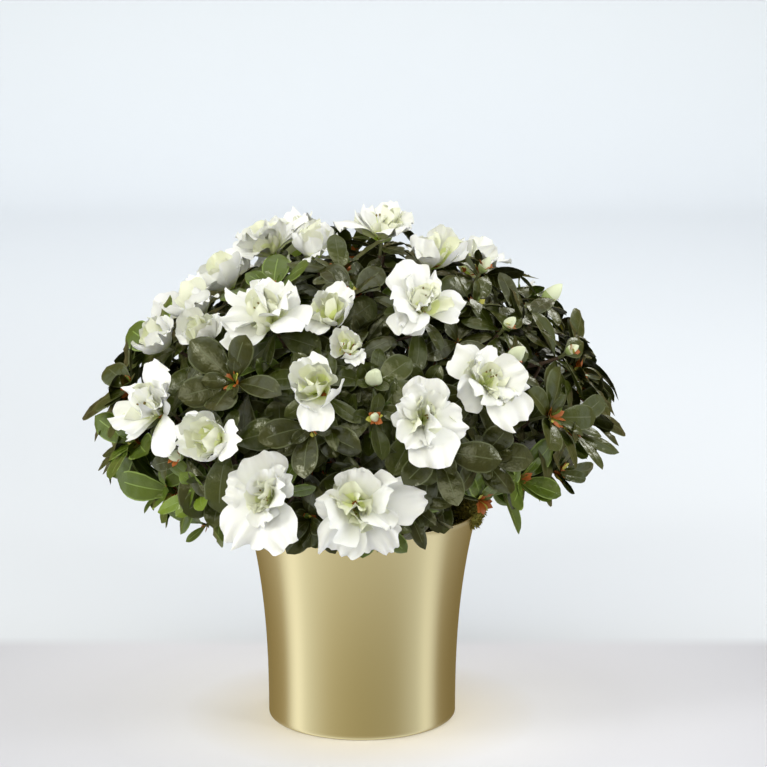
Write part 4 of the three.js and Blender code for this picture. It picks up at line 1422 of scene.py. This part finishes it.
def petals_piece(name, chosen):
    parts, tints = [], []
    for kind, (rows, columns) in PETAL_GRIDS.items():
        of_kind = [petal for petal in chosen if petal["kind"] == kind]
        parts.append(petal_arrays(of_kind, rows, columns))
        tints.append(np.tile(np.repeat(TINTS[kind], columns - 1), len(of_kind)))
    points, faces = joined(parts)
    return mesh_piece(name, points, faces, petal_finishes, np.concatenate(tints))


petals_piece("flowers_left", [petal for petal in petals if petal["throat"].x < CROWN_CENTRE.x])
petals_piece("flowers_right", [petal for petal in petals if petal["throat"].x >= CROWN_CENTRE.x])

# %% [markdown]
# ## Stamens
#
# Deep in an open flower a few fine green-white threads end in brown tips. They are thinner than anything
# else on the plant, and a curve with a thickness would do, but the same tubes as the twigs keep all of it
# one mesh.

# %% A few threads with brown tips for every open flower
STAMENS = 6


def stamen_parts(tip, random):
    throat = throat_of(tip)
    threads, anthers = [], []
    for _ in range(STAMENS):
        axis = leaning((tip["facing"] + UP * 0.1).normalized(), 3 + 14 * random(), 360 * random())
        end = throat + axis * tip["size"] * (0.5 + 0.16 * random())
        bend = throat.lerp(end, 0.6) - UP * 1.2
        threads.append(tube(smooth_path([throat, bend, end], 5), lambda share, angle, centre: 0.28, 4))
        tips_of_anther = [end - axis * 0.7, end + axis * 0.3, end + axis * 1.3]
        anthers.append(tube(tips_of_anther, lambda share, angle, centre: 0.75 - 0.9 * abs(share - 0.5), 6))
    return threads, anthers


stamen_draw = seeded(66)
threads, anthers = [], []
for tip in tips:
    if tip["kind"] == "open":
        own_threads, own_anthers = stamen_parts(tip, stamen_draw)
        threads += own_threads
        anthers += own_anthers
stamen_points, stamen_faces = joined(threads + anthers)
thread_faces = sum(len(faces) for _, faces in threads)
thread_green = plain_finish("thread_green", (0.66, 0.74, 0.34), 0.5)
anther_brown = plain_finish("anther_brown", (0.20, 0.14, 0.03), 0.7)
is_anther = np.arange(len(stamen_faces)) >= thread_faces
mesh_piece("stamens", stamen_points, stamen_faces, [thread_green, anther_brown], is_anther)

# %% [markdown]
# ## Buds
#
# A bud is a pointed egg of tightly wrapped petals, greenish at its foot. It could be wrapped from real
# petals, but at this size only the edge of the outer ones shows. So the egg is a small turned form whose
# radius swells in a slow spiral of three ridges.

# %% Buds
BUD_ROWS, BUD_SIDES = 12, 18
GREEN_ROWS = 4


def bud_part(tip):
    side, up = across(tip["facing"])
    points = []
    for i in range(BUD_ROWS):
        share = i / (BUD_ROWS - 1)
        belly = math.sin(math.pi * min(1, 0.04 + 0.96 * share) ** 0.8) ** 0.75
        for k in range(BUD_SIDES):
            angle = 2 * math.pi * k / BUD_SIDES
            wrap = 1 + 0.10 * math.sin(3 * angle + 5 * share + math.radians(tip["first"]))
            radius = 0.3 * tip["size"] * belly * wrap + 0.15
            centre = tip["place"] + tip["facing"] * (share - 0.5) * 1.06 * tip["size"]
            points.append(centre + (side * math.cos(angle) + up * math.sin(angle)) * radius)
    return as_array(points), grid_faces(BUD_ROWS, BUD_SIDES, wrap=True)


bud_green = add_grain(plain_finish("bud_green", (0.42, 0.52, 0.20), 0.5), 500, 0.15, 2)
bud_pale = add_grain(plain_finish("bud_pale", (0.74, 0.80, 0.56), 0.5), 500, 0.15, 2)
bud_parts = [bud_part(tip) for tip in tips if tip["kind"] == "bud"]
bud_points, bud_faces = joined(bud_parts)
row_of_face = np.repeat(np.arange(BUD_ROWS - 1), BUD_SIDES)
is_pale = np.tile(row_of_face >= GREEN_ROWS, len(bud_parts))
mesh_piece("buds", bud_points, bud_faces, [bud_green, bud_pale], is_pale)

# %% [markdown]
# ## Copper scales
#
# Every bud and flower sits in a collar of papery copper-brown scales, which also close the heart of each
# leaf whorl. They are tiny leaves, so the function that makes the large ones makes them too, on a coarser
# grid. Every fourth is greenish yellow, which keeps the hearts from looking painted.

# %% Copper scales under the flowers and in the whorls
SCALES = {"leaf": (9, 13, 20), "side": (4, 6, 14)}  # how many, how long and how far they lean
FLOWER_SCALES = (8, 9, 16)
SCALE_ROWS = 6
SCALE_ACROSS = np.array([-1, -0.4, 0.4, 1])


def scales_at(tip, random):
    """Scales round the neck of a flower or bud, or just inside the heart of a whorl."""
    foot = tip["place"] - tip["facing"] if tip["kind"] in SCALES else tip["route"][-1]
    count, length, lean = SCALES.get(tip["kind"], FLOWER_SCALES)
    scales = []
    for k in range(count):
        turn = 360 * (k + 0.4 * random()) / count
        size = length * (0.8 + 0.4 * random())
        scales.append(leaf_at(foot, tip["facing"], turn, size, lean + 16 * random(), random, "old", 0.42))
    return scales


scale_draw = seeded(52)
scales = [scale for tip in tips + side_shoots for scale in scales_at(tip, scale_draw)]
copper_scale = plain_finish("copper_scale", (0.37, 0.10, 0.014), 0.45)
yellow_scale = plain_finish("yellow_scale", (0.46, 0.44, 0.07), 0.45)
scale_points, scale_faces = leaf_arrays(scales, SCALE_ROWS, SCALE_ACROSS)
faces_each = len(grid_faces(SCALE_ROWS, len(SCALE_ACROSS)))
is_yellow = np.repeat(np.arange(len(scales)) % 4 == 0, faces_each)
mesh_piece("bud_scales", scale_points, scale_faces, [copper_scale, yellow_scale], is_yellow)

# %% [markdown]
# ## The table and the backdrop
#
# The plant stands on a pale beige table in front of a pale blue-white wall, and the edge between them is
# soft. A plane and a second one behind it would show a hard corner. One sheet that runs back flat and then
# curves up, as in a photographer's studio, gives both, and leaves room to walk round the plant.

# %% The shape of the sweep
SWEEP_HALF_WIDTH = 3600
SWEEP_FRONT = -3600
BEND_FROM, BEND_RADIUS = 2400, 500
WALL_TOP = 2600


def studio_sweep():
    """The flat table, the bend and the wall, each a list of how far back and how high its lines lie."""
    flat = [(y, 0.0) for y in np.linspace(SWEEP_FRONT, BEND_FROM, 60)]
    bend = []
    for a in np.linspace(0.1, math.pi / 2, 14):
        bend.append((BEND_FROM + BEND_RADIUS * math.sin(a), BEND_RADIUS * (1 - math.cos(a))))
    wall = [(BEND_FROM + BEND_RADIUS, z) for z in np.linspace(BEND_RADIUS + 100, WALL_TOP, 8)]
    lines = flat + bend + wall
    points = [(x * SWEEP_HALF_WIDTH, y, z) for y, z in lines for x in (-1, 1)]
    return np.array(points, dtype=float), grid_faces(len(lines), 2)


sweep_points, sweep_faces = studio_sweep()
print("the sweep has", len(sweep_faces), "faces")

# %% [markdown]
# ## Helpers for nodes that blend
#
# The paper of the sweep and the room round the plant both turn a place into a colour: a number is mapped
# from one range to another, a ramp gives it a colour, and two colours are mixed. Small helpers keep those
# networks short. A Mix node has a set of sockets for each kind of value, and its colour sockets are only
# told apart by number.

# %% Ramps, ranges and mixes
MIX_FIRST, MIX_SECOND, MIX_RESULT = 6, 7, 2


def stepped(ramp, steps):
    """Give a colour ramp the places and colours of a list."""
    while len(ramp.elements) < len(steps):
        ramp.elements.new(0.5)
    for element, (place, colour) in zip(ramp.elements, steps):
        element.position = place
        element.color = (*colour, 1)


def ramped(tree, value, steps):
    """The colour that a list of steps gives for a value."""
    ramp = tree.nodes.new("ShaderNodeValToRGB")
    stepped(ramp.color_ramp, steps)
    tree.links.new(value, ramp.inputs["Fac"])
    return ramp.outputs["Color"]


def mapped(tree, value, start, end, low=0, high=1):
    """A value carried over from the range start to end into the range low to high."""
    node = tree.nodes.new("ShaderNodeMapRange")
    for name, number in [("From Min", start), ("From Max", end), ("To Min", low), ("To Max", high)]:
        node.inputs[name].default_value = number
    tree.links.new(value, node.inputs["Value"])
    return node.outputs["Result"]


def mixed(tree, share, colour, other_colour):
    """A colour from the network, mixed with a fixed one by a share."""
    mix = tree.nodes.new("ShaderNodeMix")
    mix.data_type = "RGBA"
    mix.inputs[MIX_SECOND].default_value = (*other_colour, 1)
    tree.links.new(share, mix.inputs["Factor"])
    tree.links.new(colour, mix.inputs[MIX_FIRST])
    return mix.outputs[MIX_RESULT]


print("blending helpers:", [helper.__name__ for helper in (stepped, ramped, mapped, mixed)])

# %% [markdown]
# ## The paper of the sweep
#
# The table's colour is a ramp by distance from the pot, and light is painted into it: a warm glow at the
# pot's foot, and a nearly white ring close by, painted light that keeps the crown's shadow pale, then beige
# further out. Behind the pot it goes over into the wall's blue white. Two materials would need a seam there.
# The sheet is kept out of mirror images, because what the metal shows is set by the room alone.

# %% Colour the sweep and put it up
# painted light on the table: a warm glow at the pot's foot, and nearly white close by to keep the crown's
# shadow pale
TABLE_WITH_PAINTED_LIGHT = [
    (0.07, (0.95, 0.91, 0.85)),
    (0.13, (0.92, 0.925, 0.98)),
    (0.19, (0.78, 0.785, 0.84)),
    (0.42, (0.475, 0.482, 0.525)),
]
WALL_PAPER = (0.72, 0.755, 0.80)
WALL_FROM, WALL_FULL = 0.155, 0.18


def paper_with_painted_light():
    finish = plain_finish("paper_with_painted_light", WALL_PAPER, 0.6)
    tree = finish.node_tree
    place = tree.nodes.new("ShaderNodeTexCoord").outputs["Object"]
    reach = tree.nodes.new("ShaderNodeVectorMath")
    reach.operation = "LENGTH"
    split = tree.nodes.new("ShaderNodeSeparateXYZ")
    tree.links.new(place, reach.inputs[0])
    tree.links.new(place, split.inputs["Vector"])
    # the table's colour, with the painted light near the pot
    table = ramped(tree, reach.outputs["Value"], TABLE_WITH_PAINTED_LIGHT)
    both = mixed(tree, mapped(tree, split.outputs["Y"], WALL_FROM, WALL_FULL), table, WALL_PAPER)
    tree.links.new(both, tree.nodes["Principled BSDF"].inputs["Base Color"])
    return finish


sweep_mesh = bpy.data.meshes.new("studio_sweep")
sweep_mesh.from_pydata(sweep_points * MM, [], sweep_faces)
sweep_mesh.materials.append(paper_with_painted_light())
sweep_mesh.polygons.foreach_set("use_smooth", np.ones(len(sweep_faces), dtype=bool))
sweep = bpy.data.objects.new("studio_sweep", sweep_mesh)
sweep.visible_glossy = False
bpy.context.collection.objects.link(sweep)
print("the sweep's width and depth in metres:", [round(size, 1) for size in sweep.dimensions[:2]])

# %% [markdown]
# ## Light
#
# The light is soft and comes from all round, a little stronger from the upper left. One sun would be enough
# outdoors, but its hard shadows would cut the white petals up. So all lamps are soft panels. Two windows
# give the leaves their glints, a wide fill above the camera keeps the petals bright and gives the leaves a
# sheen, and low panels at the sides reach under the crown. These low ones are kept out of mirror images, so
# that they don't show on the metal. Of the other three, one shines down from above, one lights the crown's
# edge from behind, and one washes the wall.

# %% Soft lights
CROWN_AIM = (0, 0, 0.25)


def soft_light(name, place, aim, width, height, power, colour=(1, 1, 1)):
    lamp = bpy.data.lights.new(name, "AREA")
    lamp.shape = "RECTANGLE"
    lamp.size, lamp.size_y = width, height
    lamp.energy = power
    lamp.color = colour
    light = bpy.data.objects.new(name, lamp)
    light.location = place
    light.rotation_euler = (Vector(aim) - Vector(place)).to_track_quat("-Z", "Y").to_euler()
    bpy.context.collection.objects.link(light)
    return light


soft_light("window_left", (-1.1, -1.25, 1.35), CROWN_AIM, 0.34, 0.34, 7.2, (1, 0.99, 0.93))
soft_light("window_right", (1.2, -0.9, 1.1), CROWN_AIM, 0.3, 0.4, 4.5)
for side_name, side_x in [("left", -1.25), ("right", 1.25)]:
    panel = soft_light(f"panel_{side_name}", (side_x, -0.3, 0.36), (0, 0, 0.12), 0.6, 0.6, 5.5)
    panel.visible_glossy = False
soft_light("sky_panel", (-0.1, 0.0, 1.9), (0, 0, 0.2), 1.4, 1.2, 3.5)
soft_light("rim_window", (0.9, 1.0, 1.2), CROWN_AIM, 0.5, 0.5, 5)
soft_light("wall_wash", (0, 1.5, 1.8), (0, 2.9, 0.1), 2.4, 0.8, 20, (0.95, 0.98, 1))
soft_light("front_fill", (-0.4, -1.9, 1.2), CROWN_AIM, 1.6, 0.9, 11, (1, 0.99, 0.88))

# %% [markdown]
# ## The room that the pot mirrors
#
# A metal pot shows little of its own colour: it shows the room. On the real one there is a warm dim middle,
# a cool bright band on each side of it, and darker edges. A picture of a room wrapped round the scene would
# do this, but a ramp of colours is enough: it goes from in front of the plant, past the sides, to behind
# it. The pot's round wall turns that into upright bands. The right side is a little dimmer than the left,
# and steeply downwards the pale table mixes in, which lights the flared part under the rim.

# %% The room: warm and dim in front and behind, with a cool bright window on each side
ROOM = [
    (0.0, (0.42, 0.38, 0.24)),
    (0.14, (0.52, 0.49, 0.38)),
    (0.36, (0.85, 0.88, 0.92)),
    (0.46, (1.34, 1.40, 1.54)),
    (0.54, (0.98, 1.01, 1.08)),
    (0.63, (0.38, 0.32, 0.20)),
    (1.0, (0.26, 0.20, 0.08)),
]
RIGHT_SHARE = 0.8
TABLE_GLOW = (1.0, 1.04, 1.1)
TABLE_SHARE = 0.4

world = bpy.data.worlds.new("pale_room")
world.use_nodes = True
bpy.context.scene.world = world
room_tree = world.node_tree
looking = room_tree.nodes.new("ShaderNodeTexCoord").outputs["Generated"]
split = room_tree.nodes.new("ShaderNodeSeparateXYZ")
room_tree.links.new(looking, split.inputs["Vector"])
bands = ramped(room_tree, mapped(room_tree, split.outputs["Y"], -1, 1), ROOM)
downwards = mapped(room_tree, split.outputs["Z"], -0.34, -0.65, 0, TABLE_SHARE)
brightness = mapped(room_tree, split.outputs["X"], -0.6, 0.6, 1, RIGHT_SHARE)
background = room_tree.nodes["Background"]
room_tree.links.new(mixed(room_tree, downwards, bands, TABLE_GLOW), background.inputs["Color"])
room_tree.links.new(brightness, background.inputs["Strength"])
print("the room has", len(ROOM), "bands from front to back")

# %% [markdown]
# ## The camera
#
# The pot's rim shows as a shallow ellipse and its sides hardly converge, which means a long lens, two
# metres away and tilted a little down. Trying by eye would take long, so the place, tilt and focal length
# were solved from the pot's known sizes. A lens is given in millimetres for a sensor 36 mm wide, but a
# photo only gives it in pixels, so it is converted.

# %% Camera
SENSOR_WIDTH = 36
PHOTO_PIXELS = 767
FOCAL_PIXELS = 2861
CAMERA_PLACE = (0.0154, -1.970, 0.660)
CAMERA_TILT = 78

camera_data = bpy.data.cameras.new("camera")
camera_data.sensor_width = SENSOR_WIDTH
camera_data.lens = SENSOR_WIDTH * FOCAL_PIXELS / PHOTO_PIXELS
camera = bpy.data.objects.new("camera", camera_data)
camera.location = CAMERA_PLACE
camera.rotation_euler = (math.radians(CAMERA_TILT), 0, 0)
bpy.context.collection.objects.link(camera)
bpy.context.scene.camera = camera
print("focal length:", round(camera_data.lens, 1), "mm")

# %% [markdown]
# ## How colours are shown
#
# Blender's usual view squeezes bright light like film does, which turns a white flower in front of a white
# wall grey. The plain view shows the colours as they were set, as a shop's photo does, as long as no light
# is so strong that white is cut off.

# %% Show the colours plainly
bpy.context.scene.view_settings.view_transform = "Standard"
print("view:", bpy.context.scene.view_settings.view_transform)
